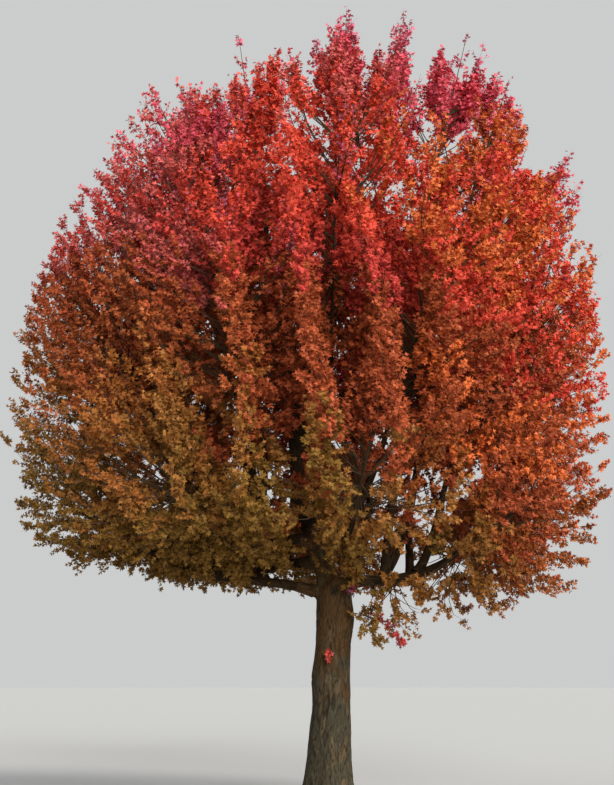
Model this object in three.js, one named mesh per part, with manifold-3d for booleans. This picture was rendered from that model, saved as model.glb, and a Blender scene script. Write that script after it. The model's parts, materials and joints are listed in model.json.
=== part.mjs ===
// A street maple in autumn: a stout trunk with a root flare, a leader and seven limbs that leave
// its head, boughs that rise from them, and a broad dome of upright leafy shoots.
// Millimetres, +Z up, origin at the middle of the flat cut at ground level, front towards -Y.
import * as THREE from "three";
import { mergeVertices } from "three/addons/utils/BufferGeometryUtils.js";
import Module from "manifold-3d";

const wasm = await Module();
wasm.setup();

// Trunk
const TRUNK_HEIGHT = 3000;
const TRUNK_RADIUS = 250;
const TRUNK_LEAN = 120;
const FOOT_TAPER = 55;
const FLARE = 95;
const FLARE_HEIGHT = 420;
const FLARE_LOBES = 5;
const HEAD_HEIGHT = 320;
const HEAD_SHRINK = 0.45;
const TRUNK_SIDES = 18;
const TRUNK_RINGS = 13;
// Old wounds that swell the trunk: height, direction in degrees, swelling and spread.
const SWELLINGS = [
  { height: 2380, towards: 0, swell: 42, spread: 230 },
  { height: 1620, towards: 180, swell: 48, spread: 260 },
];

// Crown: a dome on a bowl, widest at WIDEST_HEIGHT, whose middle shifts right towards the top.
const CROWN_TOP = 11120;
const WIDEST_HEIGHT = 5200;
const REACH = { right: 4070, back: 3880, left: 4180, front: 3880 };
const MIDDLE_AT_WIDEST = -200;
const MIDDLE_AT_TOP = 400;
const UNDERSIDE = 2850;
const UNDERSIDE_FRONT_LIFT = 350;
const UNDERSIDE_RIGHT_DROP = 850;
const UNDERSIDE_DROP_TOWARDS = -10;
// The dome is rounder on the right.
const DOME_ROUNDNESS = { left: 1.95, right: 3 };
const BOWL_ROUNDNESS = 5;
const PLAN_ROUNDNESS = 2.1;
const SPIRE = 450;

// Growth leaves a point in the trunk and fans out.
const FOCUS = new THREE.Vector3(0, 0, 2000);
const BOUGH_SHARE = 0.54;

// Limbs and boughs
const FIRST_LIMB_TOWARDS = -25.7;
const LIMB = { radius: 84, tip: 40, sides: 7, segments: 6 };
const BOUGH = { radius: 66, tip: 34, sides: 5, segments: 5 };
const LEADER = { radius: 128, tip: 44, sides: 8, segments: 9, bow: -1000 };
const CREST_BOUGHS = 6;
const CREST = { tipHeight: 10550, rise: 0.55, firstStart: 0.48, lastStart: 0.77 };
const TIP_DEPTH = 0.95;
// Limbs, evenly turned round the tree: height where each leaves the trunk or the leader, its rise
// there, and the height of its foliage's tip.
const LIMBS = [
  { height: 2860, rise: 0.1, tipHeight: 4250 },
  { height: 2890, rise: 0.1, tipHeight: 4250 },
  { height: 2690, rise: 0.2, tipHeight: 4200 },
  { height: 3150, rise: 0.15, tipHeight: 4500 },
  { height: 2670, rise: 0.42, tipHeight: 4250 },
  { height: 3430, rise: 0.15, tipHeight: 4650 },
  { height: 3720, rise: 0.15, tipHeight: 4900 },
];
// Rings of foliage above the limbs' own: height of the tips, turn from the limb's direction in
// degrees, and the share of the limb below the bough's start.
const RINGS = {
  middle: { tipHeight: 7200, turn: 14, start: 0.66 },
  upper: { tipHeight: 9500, turn: -12, start: 0.4 },
};
const RISER_TURN = 60;
const RISER_RISE = 1.1;

// Foliage: a spray of leaves is one large leaf here, with three lobes at a shoot's tip.
const HEART = new THREE.Vector3(0, 0, 6500);
// Steps between one shoot and the next for its level, turn, depth, reach and roll.
const STEPS = { level: 0.7549, turn: 0.5698, depth: 0.618, reach: 0.4142, roll: 0.7321 };
const SHOOTS = 106;
const SHELL = 0.65;
const STEM = { radius: 34, tip: 16, sides: 4, segments: 3 };
const STEM_WOOD = 0.75;
const SHOOT = { radius: 16, tip: 12, sides: 3, segments: 2 };
const SHOOT_WOOD = 0.5;
const LONGEST_SHOOT = 2600;
const SHORTEST_SHOOT = 500;
const SHOOT_LEAN = 1.35;
const SHOOT_BEND = 0.4;
const LEAF_SINK = 25;
// Leaves beside a shoot: where on it they stand and on which hand.
const SIDE_LEAVES = [
  { at: 0.24, hand: 1 },
  { at: 0.42, hand: -1 },
];
const SIDE_LEAF_SHARE = 0.5;
const SIDE_LEAF_ANGLE = 38;
// Leaf outlines as shares of the length: how far along, and how far to each side.
const LOBED = [[0.5, 0.34], [0.62, 0.17]];
const PLAIN = [[0.5, 0.28]];
const LEAF_MIDDLE = 0.16;
const LEAF_THICKNESS_SHARE = 1 / 50;
const LEAF_ROLLS = [0, 1.1, -1.1];

// Clearances
const GAP = 0.35;
const FOLIAGE_GAP = 14;
const WOOD_GAP = 12;

// Sprouts that grow straight from the trunk: height, direction in degrees, length, rise and leaves.
const SPROUTS = {
  low_sprout: { height: 1750, towards: -96, length: 260, rise: 0.9, leaves: 3 },
  head_sprout: { height: 2640, towards: -62, length: 300, rise: 0.5, leaves: 4 },
  hanging_sprout: { height: 2460, towards: -8, length: 760, rise: -0.6, leaves: 7 },
};
const SPROUT_RADIUS = { radius: 16, tip: 7, sides: 3, segments: 4 };
const SPROUT_LEAF = 210;

// The foliage turns from olive at the lower left through rust, orange and scarlet to crimson.
const COLOURS = {
  bark: 0x6b5a45,
  olive: 0x7c5a22,
  rust: 0x9c4a24,
  orange: 0xc4602a,
  scarlet: 0xc23c2a,
  crimson: 0xb02c3c,
};
const materials = Object.fromEntries(
  Object.entries(COLOURS).map(([name, color]) => [
    name,
    new THREE.MeshStandardMaterial({ name, color, roughness: 0.85, metalness: 0 }),
  ]),
);

const radians = THREE.MathUtils.degToRad;

// An even spread from 0 to 1.
function spread(index, step) {
  return (0.5 + index * step) % 1;
}

function smooth(low, high, x) {
  const t = Math.min(1, Math.max(0, (x - low) / (high - low)));
  return t * t * (3 - 2 * t);
}

// The crown's outline
function crownMiddle(z) {
  const t = Math.max(0, (z - WIDEST_HEIGHT) / (CROWN_TOP - WIDEST_HEIGHT));
  return MIDDLE_AT_WIDEST + (MIDDLE_AT_TOP - MIDDLE_AT_WIDEST) * t * t;
}

function reachTowards(azimuth) {
  const x = Math.cos(azimuth) / (Math.cos(azimuth) > 0 ? REACH.right : REACH.left);
  const y = Math.sin(azimuth) / (Math.sin(azimuth) > 0 ? REACH.back : REACH.front);
  return 1 / Math.hypot(x, y);
}

function undersideTowards(azimuth) {
  const front = Math.max(0, -Math.sin(azimuth)) ** 2;
  const right = Math.max(0, Math.cos(azimuth - radians(UNDERSIDE_DROP_TOWARDS))) ** 6;
  return UNDERSIDE + UNDERSIDE_FRONT_LIFT * front - UNDERSIDE_RIGHT_DROP * right;
}

function domeRoundness(azimuth) {
  return THREE.MathUtils.lerp(DOME_ROUNDNESS.left, DOME_ROUNDNESS.right, (1 + Math.cos(azimuth)) / 2);
}

function heightShare(z, azimuth) {
  return z > WIDEST_HEIGHT
    ? ((z - WIDEST_HEIGHT) / (CROWN_TOP - WIDEST_HEIGHT)) ** domeRoundness(azimuth)
    : ((WIDEST_HEIGHT - z) / (WIDEST_HEIGHT - undersideTowards(azimuth))) ** BOWL_ROUNDNESS;
}

// 0 in the heart of the crown and 1 on its skin.
function fullness(p) {
  const x = p.x - crownMiddle(p.z);
  const azimuth = Math.atan2(p.y, x);
  return (Math.hypot(x, p.y) / reachTowards(azimuth)) ** PLAN_ROUNDNESS + heightShare(p.z, azimuth);
}

// A stem's tip, close under the skin.
function tipPoint(azimuth, z) {
  const radius = reachTowards(azimuth) * (1 - heightShare(z, azimuth)) ** (1 / PLAN_ROUNDNESS);
  const x = crownMiddle(z) + TIP_DEPTH * radius * Math.cos(azimuth);
  return new THREE.Vector3(x, TIP_DEPTH * radius * Math.sin(azimuth), z);
}

function growth(p) {
  return p.clone().sub(FOCUS).normalize();
}

// Solids
function toSolid(geometry) {
  const bare = geometry.clone();
  bare.deleteAttribute("normal");
  bare.deleteAttribute("uv");
  const merged = mergeVertices(bare, 1e-3);
  return new wasm.Manifold(
    new wasm.Mesh({
      numProp: 3,
      vertProperties: merged.attributes.position.array,
      triVerts: new Uint32Array(merged.index.array),
    }),
  );
}

function toGeometry(solid) {
  const mesh = solid.getMesh();
  const geometry = new THREE.BufferGeometry();
  geometry.setAttribute("position", new THREE.BufferAttribute(mesh.vertProperties, 3));
  geometry.setIndex(new THREE.BufferAttribute(mesh.triVerts, 1));
  geometry.computeVertexNormals();
  return geometry;
}

// A cylinder bent along the first share of a curve, tapering from size.radius to size.tip.
function limbSolid(curve, size, share = 1, swell = 0) {
  const steps = Math.round(size.segments / share);
  const frames = curve.computeFrenetFrames(steps);
  const geometry = new THREE.CylinderGeometry(1, 1, 1, size.sides, size.segments);
  const position = geometry.attributes.position;
  for (let i = 0; i < position.count; i++) {
    const along = position.getY(i) + 0.5;
    const ring = Math.round(along * size.segments);
    const radius = limbRadius(size, along) + swell;
    const vertex = curve.getPointAt(ring / steps);
    vertex.addScaledVector(frames.normals[ring], radius * position.getX(i));
    vertex.addScaledVector(frames.binormals[ring], -radius * position.getZ(i));
    position.setXYZ(i, vertex.x, vertex.y, vertex.z);
  }
  return toSolid(geometry);
}

// Scraps that a cut leaves behind are dropped.
function largest(solid) {
  return solid.decompose().reduce((a, b) => (a.volume() > b.volume() ? a : b));
}

function limbRadius(size, along) {
  return size.radius + (size.tip - size.radius) * along;
}

// A curve that leaves start along out and reaches end along its own direction of growth.
function grown(start, out, end, pull = 1 / 3) {
  const length = start.distanceTo(end);
  return new THREE.CubicBezierCurve3(
    start,
    start.clone().addScaledVector(out, length * pull),
    end.clone().addScaledVector(growth(end), -length * pull),
    end,
  );
}

// Trunk
function trunkMiddle(z) {
  const t = z / TRUNK_HEIGHT;
  return new THREE.Vector3(TRUNK_LEAN * Math.sin((Math.PI / 2) * t), 0, z);
}

function trunkRadius(z, angle) {
  const foot = Math.exp(-z / FLARE_HEIGHT);
  const lobes = 0.55 + 0.45 * Math.cos(FLARE_LOBES * angle + 0.6);
  let radius = TRUNK_RADIUS + FOOT_TAPER * (1 - smooth(0, 1900, z)) + FLARE * foot * lobes;
  for (const knot of SWELLINGS) {
    const turn = Math.cos(angle - radians(knot.towards));
    radius += knot.swell * Math.exp(-(((z - knot.height) / knot.spread) ** 2)) * Math.max(0, turn);
  }
  const head = smooth(TRUNK_HEIGHT - HEAD_HEIGHT, TRUNK_HEIGHT, z);
  return radius * (1 - HEAD_SHRINK * head * head);
}

function trunkSolid(swell = 0) {
  const geometry = new THREE.CylinderGeometry(1, 1, 1, TRUNK_SIDES, TRUNK_RINGS);
  const position = geometry.attributes.position;
  for (let i = 0; i < position.count; i++) {
    const z = (TRUNK_HEIGHT + swell) * (position.getY(i) + 0.5);
    const angle = Math.atan2(-position.getZ(i), position.getX(i));
    const rim = Math.hypot(position.getX(i), position.getZ(i));
    const radius = rim * (trunkRadius(z, angle) + swell);
    const middle = trunkMiddle(z);
    position.setXYZ(i, middle.x + radius * Math.cos(angle), middle.y + radius * Math.sin(angle), z);
  }
  return toSolid(geometry);
}

// Wood: each limb and bough is cut clear of what carries it.
const wood = [];

function addLimb(name, curve, size, carrier) {
  const whole = limbSolid(curve, size);
  const swollen = limbSolid(curve, size, 1, GAP);
  const limb = { name, curve, size, solid: largest(whole.subtract(carrier)), swollen };
  wood.push(limb);
  return limb;
}

function direction(azimuth, rise) {
  return new THREE.Vector3(Math.cos(azimuth), Math.sin(azimuth), rise).normalize();
}

const swollenTrunk = trunkSolid(GAP);

const topTip = new THREE.Vector3(MIDDLE_AT_TOP, 0, CROWN_TOP);
const masses = [];

function addMass(name, tip, bough) {
  masses.push({ name, tip, bough });
}

function boughEnd(tip) {
  return FOCUS.clone().lerp(tip, BOUGH_SHARE);
}

// The leader bows to the left before it climbs to the crest.
const leaderEnd = boughEnd(topTip);
const leaderStart = trunkMiddle(TRUNK_HEIGHT - HEAD_HEIGHT);
const leaderCurve = new THREE.CubicBezierCurve3(
  leaderStart,
  leaderStart.clone().add(new THREE.Vector3(LEADER.bow * 0.55, 0, leaderEnd.z * 0.2)),
  leaderEnd.clone().add(new THREE.Vector3(LEADER.bow, 0, -leaderEnd.z * 0.25)),
  leaderEnd,
);
const leader = addLimb("leader", leaderCurve, LEADER, swollenTrunk);
addMass("top_foliage", topTip, leader);

function leaderMiddle(height) {
  const points = leaderCurve.getSpacedPoints(200);
  return points.find((p) => p.z >= height);
}

for (let i = 0; i < CREST_BOUGHS; i++) {
  const azimuth = (2 * Math.PI * (i + 0.5)) / CREST_BOUGHS;
  const tip = tipPoint(azimuth, CREST.tipHeight);
  const turn = ((i * 5) % CREST_BOUGHS) / (CREST_BOUGHS - 1);
  const start = leaderCurve.getPointAt(THREE.MathUtils.lerp(CREST.firstStart, CREST.lastStart, turn));
  const curve = grown(start, direction(azimuth, CREST.rise), boughEnd(tip));
  const bough = addLimb(`crest_bough_${i + 1}`, curve, BOUGH, leader.swollen);
  addMass(`crest_foliage_${i + 1}`, tip, bough);
}

// Limbs leave the trunk's head or the leader above it, and each carries two boughs.
LIMBS.forEach(({ height, rise, tipHeight }, k) => {
  const azimuth = radians(FIRST_LIMB_TOWARDS + (360 / LIMBS.length) * k);
  const fromTrunk = height < TRUNK_HEIGHT;
  const start = fromTrunk ? trunkMiddle(height) : leaderMiddle(height);
  const tip = tipPoint(azimuth, tipHeight);
  const curve = grown(start, direction(azimuth, rise), boughEnd(tip), 0.4);
  const limb = addLimb(`limb_${k + 1}`, curve, LIMB, fromTrunk ? swollenTrunk : leader.swollen);
  addMass(`skirt_foliage_${k + 1}`, tip, limb);
  addRiser("middle", RINGS.middle, azimuth, k, limb);
  addRiser("upper", RINGS.upper, azimuth, k, limb);
});

function addRiser(name, { tipHeight, turn, start }, azimuth, k, limb) {
  const tip = tipPoint(azimuth + radians(turn), tipHeight);
  const out = direction(azimuth + radians(Math.sign(turn) * RISER_TURN), RISER_RISE);
  const curve = grown(limb.curve.getPointAt(start), out, boughEnd(tip));
  addMass(`${name}_foliage_${k + 1}`, tip, addLimb(`${name}_bough_${k + 1}`, curve, BOUGH, limb.swollen));
}

// Foliage: each mass has one stem that goes on from its bough's tip.
for (const mass of masses) {
  const end = mass.bough.curve.getPointAt(1);
  const out = mass.bough.curve.getTangentAt(1);
  mass.stem = grown(end.clone().addScaledVector(out, GAP), out, mass.tip);
  mass.stemPoints = mass.stem.getSpacedPoints(8);
  mass.stemLength = mass.stem.getLength();
  mass.parts = [];
}

function distanceToLine(p, points) {
  const segment = new THREE.Line3();
  const nearest = new THREE.Vector3();
  let least = Infinity;
  for (let i = 1; i < points.length; i++) {
    segment.set(points[i - 1], points[i]).closestPointToPoint(p, true, nearest);
    least = Math.min(least, nearest.distanceTo(p));
  }
  return least;
}

for (const limb of wood) limb.points = limb.curve.getSpacedPoints(14);

function ownerOf(p) {
  let owner = null;
  let least = Infinity;
  let second = Infinity;
  for (const mass of masses) {
    const distance = distanceToLine(p, mass.stemPoints);
    if (distance < least) {
      second = least;
      least = distance;
      owner = mass;
    } else if (distance < second) second = distance;
  }
  return { owner, clearance: second - least };
}

// True if a point is in the mass's own space and clear of the wood.
function inSpace(p, mass, thickness) {
  const { owner, clearance } = ownerOf(p);
  if (owner !== mass || clearance < 2 * (FOLIAGE_GAP + thickness)) return false;
  return wood.every((limb) => {
    const points = limb.points;
    for (let i = 1; i < points.length; i++) {
      const radius = limbRadius(limb.size, (i - 1) / (points.length - 1));
      if (distanceToLine(p, [points[i - 1], points[i]]) < radius + WOOD_GAP + thickness) return false;
    }
    return true;
  });
}

// A leaf is a thin plate, thickest near its root.
function leafPoints(shape, root, along, normal, length) {
  const side = new THREE.Vector3().crossVectors(normal, along).normalize();
  const at = ([x, y]) =>
    root.clone().addScaledVector(along, x * length).addScaledVector(side, y * length);
  const right = shape.map(([x, y]) => [x, -y]);
  const left = shape.toReversed();
  return {
    outline: [[0, 0], ...right, [1, 0], ...left].map(at),
    middle: at([LEAF_MIDDLE, 0]),
    rise: new THREE.Vector3().crossVectors(along, side).setLength((length * LEAF_THICKNESS_SHARE) / 2),
  };
}

function leafSolid({ outline, middle, rise }) {
  const top = outline.length;
  const faces = outline.flatMap((_, i) => {
    const next = (i + 1) % top;
    return [i, next, top, next, i, top + 1];
  });
  const points = [...outline, middle.clone().add(rise), middle.clone().sub(rise)];
  const geometry = new THREE.BufferGeometry().setFromPoints(points);
  geometry.setIndex(faces);
  return toSolid(geometry);
}

// Points over the whole leaf but for its root, which is inside the twig.
function leafSamples({ outline }) {
  const heart = outline[0].clone().lerp(outline[outline.length / 2], 0.5);
  const rim = outline.flatMap((p, i) => [0, 0.35, 0.7].map((t) => p.clone().lerp(outline.at(i - 1), t)));
  const inner = rim.flatMap((p) => [0.3, 0.65].map((t) => heart.clone().lerp(p, t)));
  return [...rim.slice(3, -2), ...inner];
}

// The leaf is rolled until it lies in its mass's space, or left out.
function addLeaf(mass, shape, root, along, roll, length) {
  for (const turn of LEAF_ROLLS) {
    const leaf = leafPoints(shape, root, along, leafNormal(along, roll + turn), length);
    if (leafSamples(leaf).every((p) => inSpace(p, mass, 2 * leaf.rise.length()))) {
      mass.parts.push(leafSolid(leaf));
      return;
    }
  }
}

// A direction square to along, as near as can be to the way out of the crown, then rolled.
function leafNormal(along, roll) {
  const outward = new THREE.Vector3(along.x, along.y, 0.4).normalize();
  const square = outward.sub(along.clone().multiplyScalar(outward.dot(along))).normalize();
  return square.applyAxisAngle(along, roll);
}

// Tips of the shoots, spread evenly through the outer shell of the crown.
function shootTarget(index) {
  const level = 2 * spread(index, STEPS.level) - 1;
  const turn = 2 * Math.PI * spread(index, STEPS.turn);
  const flat = Math.sqrt(1 - level * level);
  const way = new THREE.Vector3(flat * Math.cos(turn), flat * Math.sin(turn), level);
  const full = 1 - (1 - SHELL) * spread(index, STEPS.depth) ** 2;
  const p = alongUntil(way, full);
  return p.addScaledVector(growth(p), SPIRE * spread(index, STEPS.reach) * smooth(0.7, 1, full));
}

// The point out from the heart of the crown where its fullness is reached.
function alongUntil(way, full) {
  let near = 0;
  let far = CROWN_TOP;
  for (let i = 0; i < 24; i++) {
    const between = (near + far) / 2;
    if (fullness(HEART.clone().addScaledVector(way, between)) < full) near = between;
    else far = between;
  }
  return HEART.clone().addScaledVector(way, near);
}

function shootCurve(mass, tip) {
  const nearest = mass.stemPoints.reduce((a, b) => (a.distanceTo(tip) < b.distanceTo(tip) ? a : b));
  const reached = mass.stemPoints.indexOf(nearest) / (mass.stemPoints.length - 1);
  const back = (SHOOT_LEAN * nearest.distanceTo(tip)) / mass.stemLength;
  const start = mass.stem.getPointAt(Math.min(STEM_WOOD - 0.04, Math.max(0.06, reached - back)));
  const length = start.distanceTo(tip);
  const bend = tip.clone().addScaledVector(growth(tip), -SHOOT_BEND * length);
  return { curve: new THREE.QuadraticBezierCurve3(start, bend, tip), length };
}

// A twig is woody for a share of its curve, and one leaf goes on from there to its tip.
function addTwig(mass, curve, size, share, roll) {
  mass.parts.push(limbSolid(curve, size, share));
  const root = curve.getPointAt(share - LEAF_SINK / curve.getLength());
  const way = curve.getPointAt(1).sub(root);
  addLeaf(mass, LOBED, root, way.clone().normalize(), roll, way.length());
}

function addShoot(mass, tip, index) {
  const { curve, length } = shootCurve(mass, tip);
  if (length > LONGEST_SHOOT || length < SHORTEST_SHOOT) return false;
  const outside = curve.getSpacedPoints(12).slice(2).some((p) => !inSpace(p, mass, SHOOT.radius));
  if (outside) return false;
  const roll = Math.PI * (spread(index, STEPS.roll) - 0.5);
  addTwig(mass, curve, SHOOT, SHOOT_WOOD, roll);
  for (const { at, hand } of SIDE_LEAVES) {
    const forward = curve.getTangentAt(at);
    const across = leafNormal(forward, roll + Math.PI / 2);
    const along = forward.multiplyScalar(Math.cos(radians(SIDE_LEAF_ANGLE)));
    along.addScaledVector(across, hand * Math.sin(radians(SIDE_LEAF_ANGLE))).normalize();
    addLeaf(mass, PLAIN, curve.getPointAt(at), along, roll, SIDE_LEAF_SHARE * length);
  }
  return true;
}

for (const mass of masses) addTwig(mass, mass.stem, STEM, STEM_WOOD, 0);

for (let index = 0, grownShoots = 0; grownShoots < SHOOTS; index++) {
  const tip = shootTarget(index);
  if (addShoot(ownerOf(tip).owner, tip, index)) grownShoots++;
}

function fuse(parts) {
  return parts.reduce((whole, part) => whole.add(part));
}

// Sprouts
function sproutSolid({ height, towards, length, rise, leaves }) {
  const azimuth = radians(towards);
  const start = trunkMiddle(height);
  const surface = start.clone().addScaledVector(direction(azimuth, 0), trunkRadius(height, azimuth));
  const end = surface.clone().addScaledVector(direction(azimuth, rise), length);
  const bend = surface.clone().addScaledVector(direction(azimuth, 0.15), length * 0.5);
  const curve = new THREE.QuadraticBezierCurve3(start, bend, end);
  const parts = [limbSolid(curve, SPROUT_RADIUS)];
  const total = curve.getLength();
  const first = 1 - (0.72 * length) / total;
  for (let i = 0; i < leaves; i++) {
    const at = first + ((1 - first) * i) / (leaves - 1);
    const forward = curve.getTangentAt(at);
    const across = leafNormal(forward, Math.PI / 2);
    const hand = i === leaves - 1 ? 0 : i % 2 ? 1 : -1;
    const along = forward.clone().addScaledVector(across, 1.1 * hand).normalize();
    const root = curve.getPointAt(at).addScaledVector(along, hand ? -4 : -30);
    parts.push(leafSolid(leafPoints(LOBED, root, along, leafNormal(along, 0.5 * hand), SPROUT_LEAF)));
  }
  return largest(fuse(parts).subtract(swollenTrunk));
}

// The tree
function tintOf(p) {
  if (p.z > 8500) return p.x < 1000 || p.z > 10000 ? "crimson" : "scarlet";
  if (p.z > 6000) return p.x > 0 ? "scarlet" : "rust";
  if (p.x > 1200) return "orange";
  return p.x < -600 ? "olive" : "rust";
}

const tree = new THREE.Group();
tree.name = "maple_tree";

function addMesh(name, solid, material) {
  const mesh = new THREE.Mesh(toGeometry(solid), material);
  mesh.name = name;
  tree.add(mesh);
}

addMesh("trunk", trunkSolid(), materials.bark);
for (const limb of wood) addMesh(limb.name, limb.solid, materials.bark);
for (const mass of masses) addMesh(mass.name, largest(fuse(mass.parts)), materials[tintOf(mass.tip)]);
for (const [name, sprout] of Object.entries(SPROUTS)) {
  addMesh(name, sproutSolid(sprout), materials.scarlet);
}

export default tree;
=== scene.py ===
"""A street maple in autumn: bark in relief, boughs, fine twigs and sprays of small lobed leaves.

Lengths are in metres and angles in degrees, with +Z up and the front of the tree towards -Y.
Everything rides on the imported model.
"""

import json
import math

import bpy
import numpy as np
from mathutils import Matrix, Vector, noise


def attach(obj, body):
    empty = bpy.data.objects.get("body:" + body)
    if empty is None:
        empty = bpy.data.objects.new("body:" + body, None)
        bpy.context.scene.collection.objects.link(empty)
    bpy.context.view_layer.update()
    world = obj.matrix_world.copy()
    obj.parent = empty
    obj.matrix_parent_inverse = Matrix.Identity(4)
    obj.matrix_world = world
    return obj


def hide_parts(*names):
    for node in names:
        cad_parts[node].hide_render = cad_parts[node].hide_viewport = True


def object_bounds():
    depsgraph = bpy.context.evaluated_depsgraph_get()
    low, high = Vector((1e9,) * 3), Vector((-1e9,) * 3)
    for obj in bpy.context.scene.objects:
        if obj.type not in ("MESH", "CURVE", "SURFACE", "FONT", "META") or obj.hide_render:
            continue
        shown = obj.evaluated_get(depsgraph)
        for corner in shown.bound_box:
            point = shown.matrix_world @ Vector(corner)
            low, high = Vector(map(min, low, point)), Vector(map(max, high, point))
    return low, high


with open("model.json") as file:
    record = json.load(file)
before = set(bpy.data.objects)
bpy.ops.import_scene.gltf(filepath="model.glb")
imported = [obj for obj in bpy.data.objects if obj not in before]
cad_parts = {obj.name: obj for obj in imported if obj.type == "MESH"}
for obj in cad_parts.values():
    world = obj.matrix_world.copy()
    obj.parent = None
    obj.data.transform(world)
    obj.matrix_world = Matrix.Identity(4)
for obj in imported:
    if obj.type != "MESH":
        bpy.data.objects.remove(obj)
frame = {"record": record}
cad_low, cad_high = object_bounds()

SEED = 20
# The bark's noise is seeded too, or it would differ from run to run.
noise.seed_set(SEED)

# Camera and light
CAMERA_PLACE = (-0.25, -21.0, 1.55)
CAMERA_PITCH = 10.85
LENS = 68.8
SKY = (0.60, 0.61, 0.61)
SKY_STRENGTH = 1.0
SUN = {"strength": 3.8, "angle": 30.0, "towards": -18.0, "height": 38.0, "colour": (1.0, 0.97, 0.92)}
FILL = {"strength": 3.7, "angle": 38.0, "towards": -74.0, "height": 18.0, "colour": (0.95, 0.98, 1.0)}
FLOOR_RADII = (6.0, 40.0, 300.0)
FLOOR_SIDES = 96
FLOOR_HEIGHT = -0.002
FLOOR_COLOUR = (0.36, 0.358, 0.352)
FLOOR_SHADE = 0.97

# Trunk
TRUNK_HEIGHT = 3.0
TRUNK_RADIUS = 0.25
TRUNK_LEAN = 0.12
FOOT_TAPER = 0.055
TAPER_HEIGHT = 1.9
FLARE = 0.095
FLARE_HEIGHT = 0.42
FLARE_LOBES = 5
LOBE_DEPTH = 0.45
HEAD_HEIGHT = 0.32
HEAD_SHRINK = 0.45
SWELLINGS = [
    {"height": 2.38, "towards": 0, "swell": 0.042, "spread": 0.23},
    {"height": 1.62, "towards": 180, "swell": 0.048, "spread": 0.26},
]

# Crown
CROWN_TOP = 11.12
WIDEST_HEIGHT = 5.2
REACH = {"right": 4.07, "back": 3.88, "left": 4.18, "front": 3.88}
MIDDLE_AT_WIDEST = -0.2
MIDDLE_AT_TOP = 0.4
UNDERSIDE = 2.85
UNDERSIDE_FRONT_LIFT = 0.35
UNDERSIDE_RIGHT_DROP = 0.85
UNDERSIDE_DROP_TOWARDS = -10
DOME_ROUNDNESS = {"left": 1.95, "right": 3.0}
BOWL_ROUNDNESS = 5
PLAN_ROUNDNESS = 2.1
FOCUS = np.array([0.0, 0.0, 2.0])
HEART = np.array([0.0, 0.0, 6.5])
BOUGH_SHARE = 0.54
TIP_DEPTH = 0.95

# Limbs and boughs
FIRST_LIMB_TOWARDS = -25.7
LIMB_RADII = (0.084, 0.040)
LIMB_PULL = 0.4
BOUGH_RADII = (0.066, 0.034)
BOUGH_PULL = 1 / 3
LEADER_RADII = (0.128, 0.044)
LEADER_BOW = -1.0
CREST_BOUGHS = 6
CREST = {"tip_height": 10.55, "rise": 0.55, "first": 0.48, "last": 0.77}
LIMBS = [
    {"height": 2.86, "rise": 0.1, "tip_height": 4.25},
    {"height": 2.89, "rise": 0.1, "tip_height": 4.25},
    {"height": 2.69, "rise": 0.2, "tip_height": 4.2},
    {"height": 3.15, "rise": 0.15, "tip_height": 4.5},
    {"height": 2.67, "rise": 0.42, "tip_height": 4.25},
    {"height": 3.43, "rise": 0.15, "tip_height": 4.65},
    {"height": 3.72, "rise": 0.15, "tip_height": 4.9},
]
RINGS = {
    "middle": {"tip_height": 7.2, "turn": 14, "start": 0.66},
    "upper": {"tip_height": 9.5, "turn": -12, "start": 0.4},
}
RISER_TURN = 60
RISER_RISE = 1.1

# The trunk's head, with the first stretch of everything that leaves it, is one smooth mesh.
STUBS = {"leader": 1.35, "limb_1": 0.75, "limb_2": 0.75, "limb_3": 0.75, "limb_5": 0.75,
         "limb_4": 0.55, "limb_6": 0.5}
STUB_RINGS = 24
STUB_SIDES = 28
TRUNK_RINGS = 121
TRUNK_SIDES = 64
HEAD_VOXEL = 0.014
HEAD_SMOOTHING = 8
# Each limb swells at its foot, on past the wood that it leaves, and then less and less along this length.
COLLAR = 0.35
STUB_COLLAR = {"start": 0.22, "length": 0.16}
BOUGH_COLLAR = {"start": 0.05, "length": 0.1}
# Towards a stub's end the smooth mesh shrinks into the limb's own, which starts thin inside the stub.
STUB_SHRINK = 0.22
STUB_SHRINK_FROM = 0.55
LIMB_SHRINK = 0.25
LIMB_SHRINK_SHARES = (0.45, 0.8)
# The points round the leader and the limbs, and round the boughs, and the room between rings of them.
LIMB_SIDES = {"leader": 20, "limb": 14}
BOUGH_SIDES = 10
RING_ROOM = 0.032

# Bark: its relief on the trunk, and on a limb as a share of the limb's radius.
RELIEF = 0.011
LIMB_RELIEF = 0.06
LEAST_RELIEF = 0.35
# The relief fades out above the trunk's cut, and points this close to the cut lie on it.
RELIEF_FOOT = 0.03
CUT_ROOM = 0.012
# The limbs' bark is finer than the trunk's and peels less.
LIMB_PATTERN = 0.7
LIMB_PEELING = 0.6
# The bark's pattern starts further along on each limb, so that no two are alike.
PATTERN_SHIFT = 7.0
# How often each feature of the bark comes, round the limb and along it, to the metre.
WARP = (6, 1.5)
CRACKS = (19, 2.6)
PLATES = (17, 5.2)
PEELED_PATCHES = (2.4, 0.8)
FLUTES = (4.2, 0.3)
KNOTS = (9, 3.4)
CRACK_WARP = (1, 1, 0.5)
PLATE_WARP = (1.6, 1.6, 1.4)
CRACK_WIDTH = 0.13
PLATE_GAP = 0.16
PEELED_ABOVE = 0.66
PEELED_EDGE = 0.12
PATCH_WEIGHT = 0.55
# How much each feature raises the bark or cuts into it.
RISE = {"flute": 2.6, "knot": 0.6, "plate": 0.45, "peeled": 0.5, "crack": 0.6, "gap": 0.25}

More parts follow.
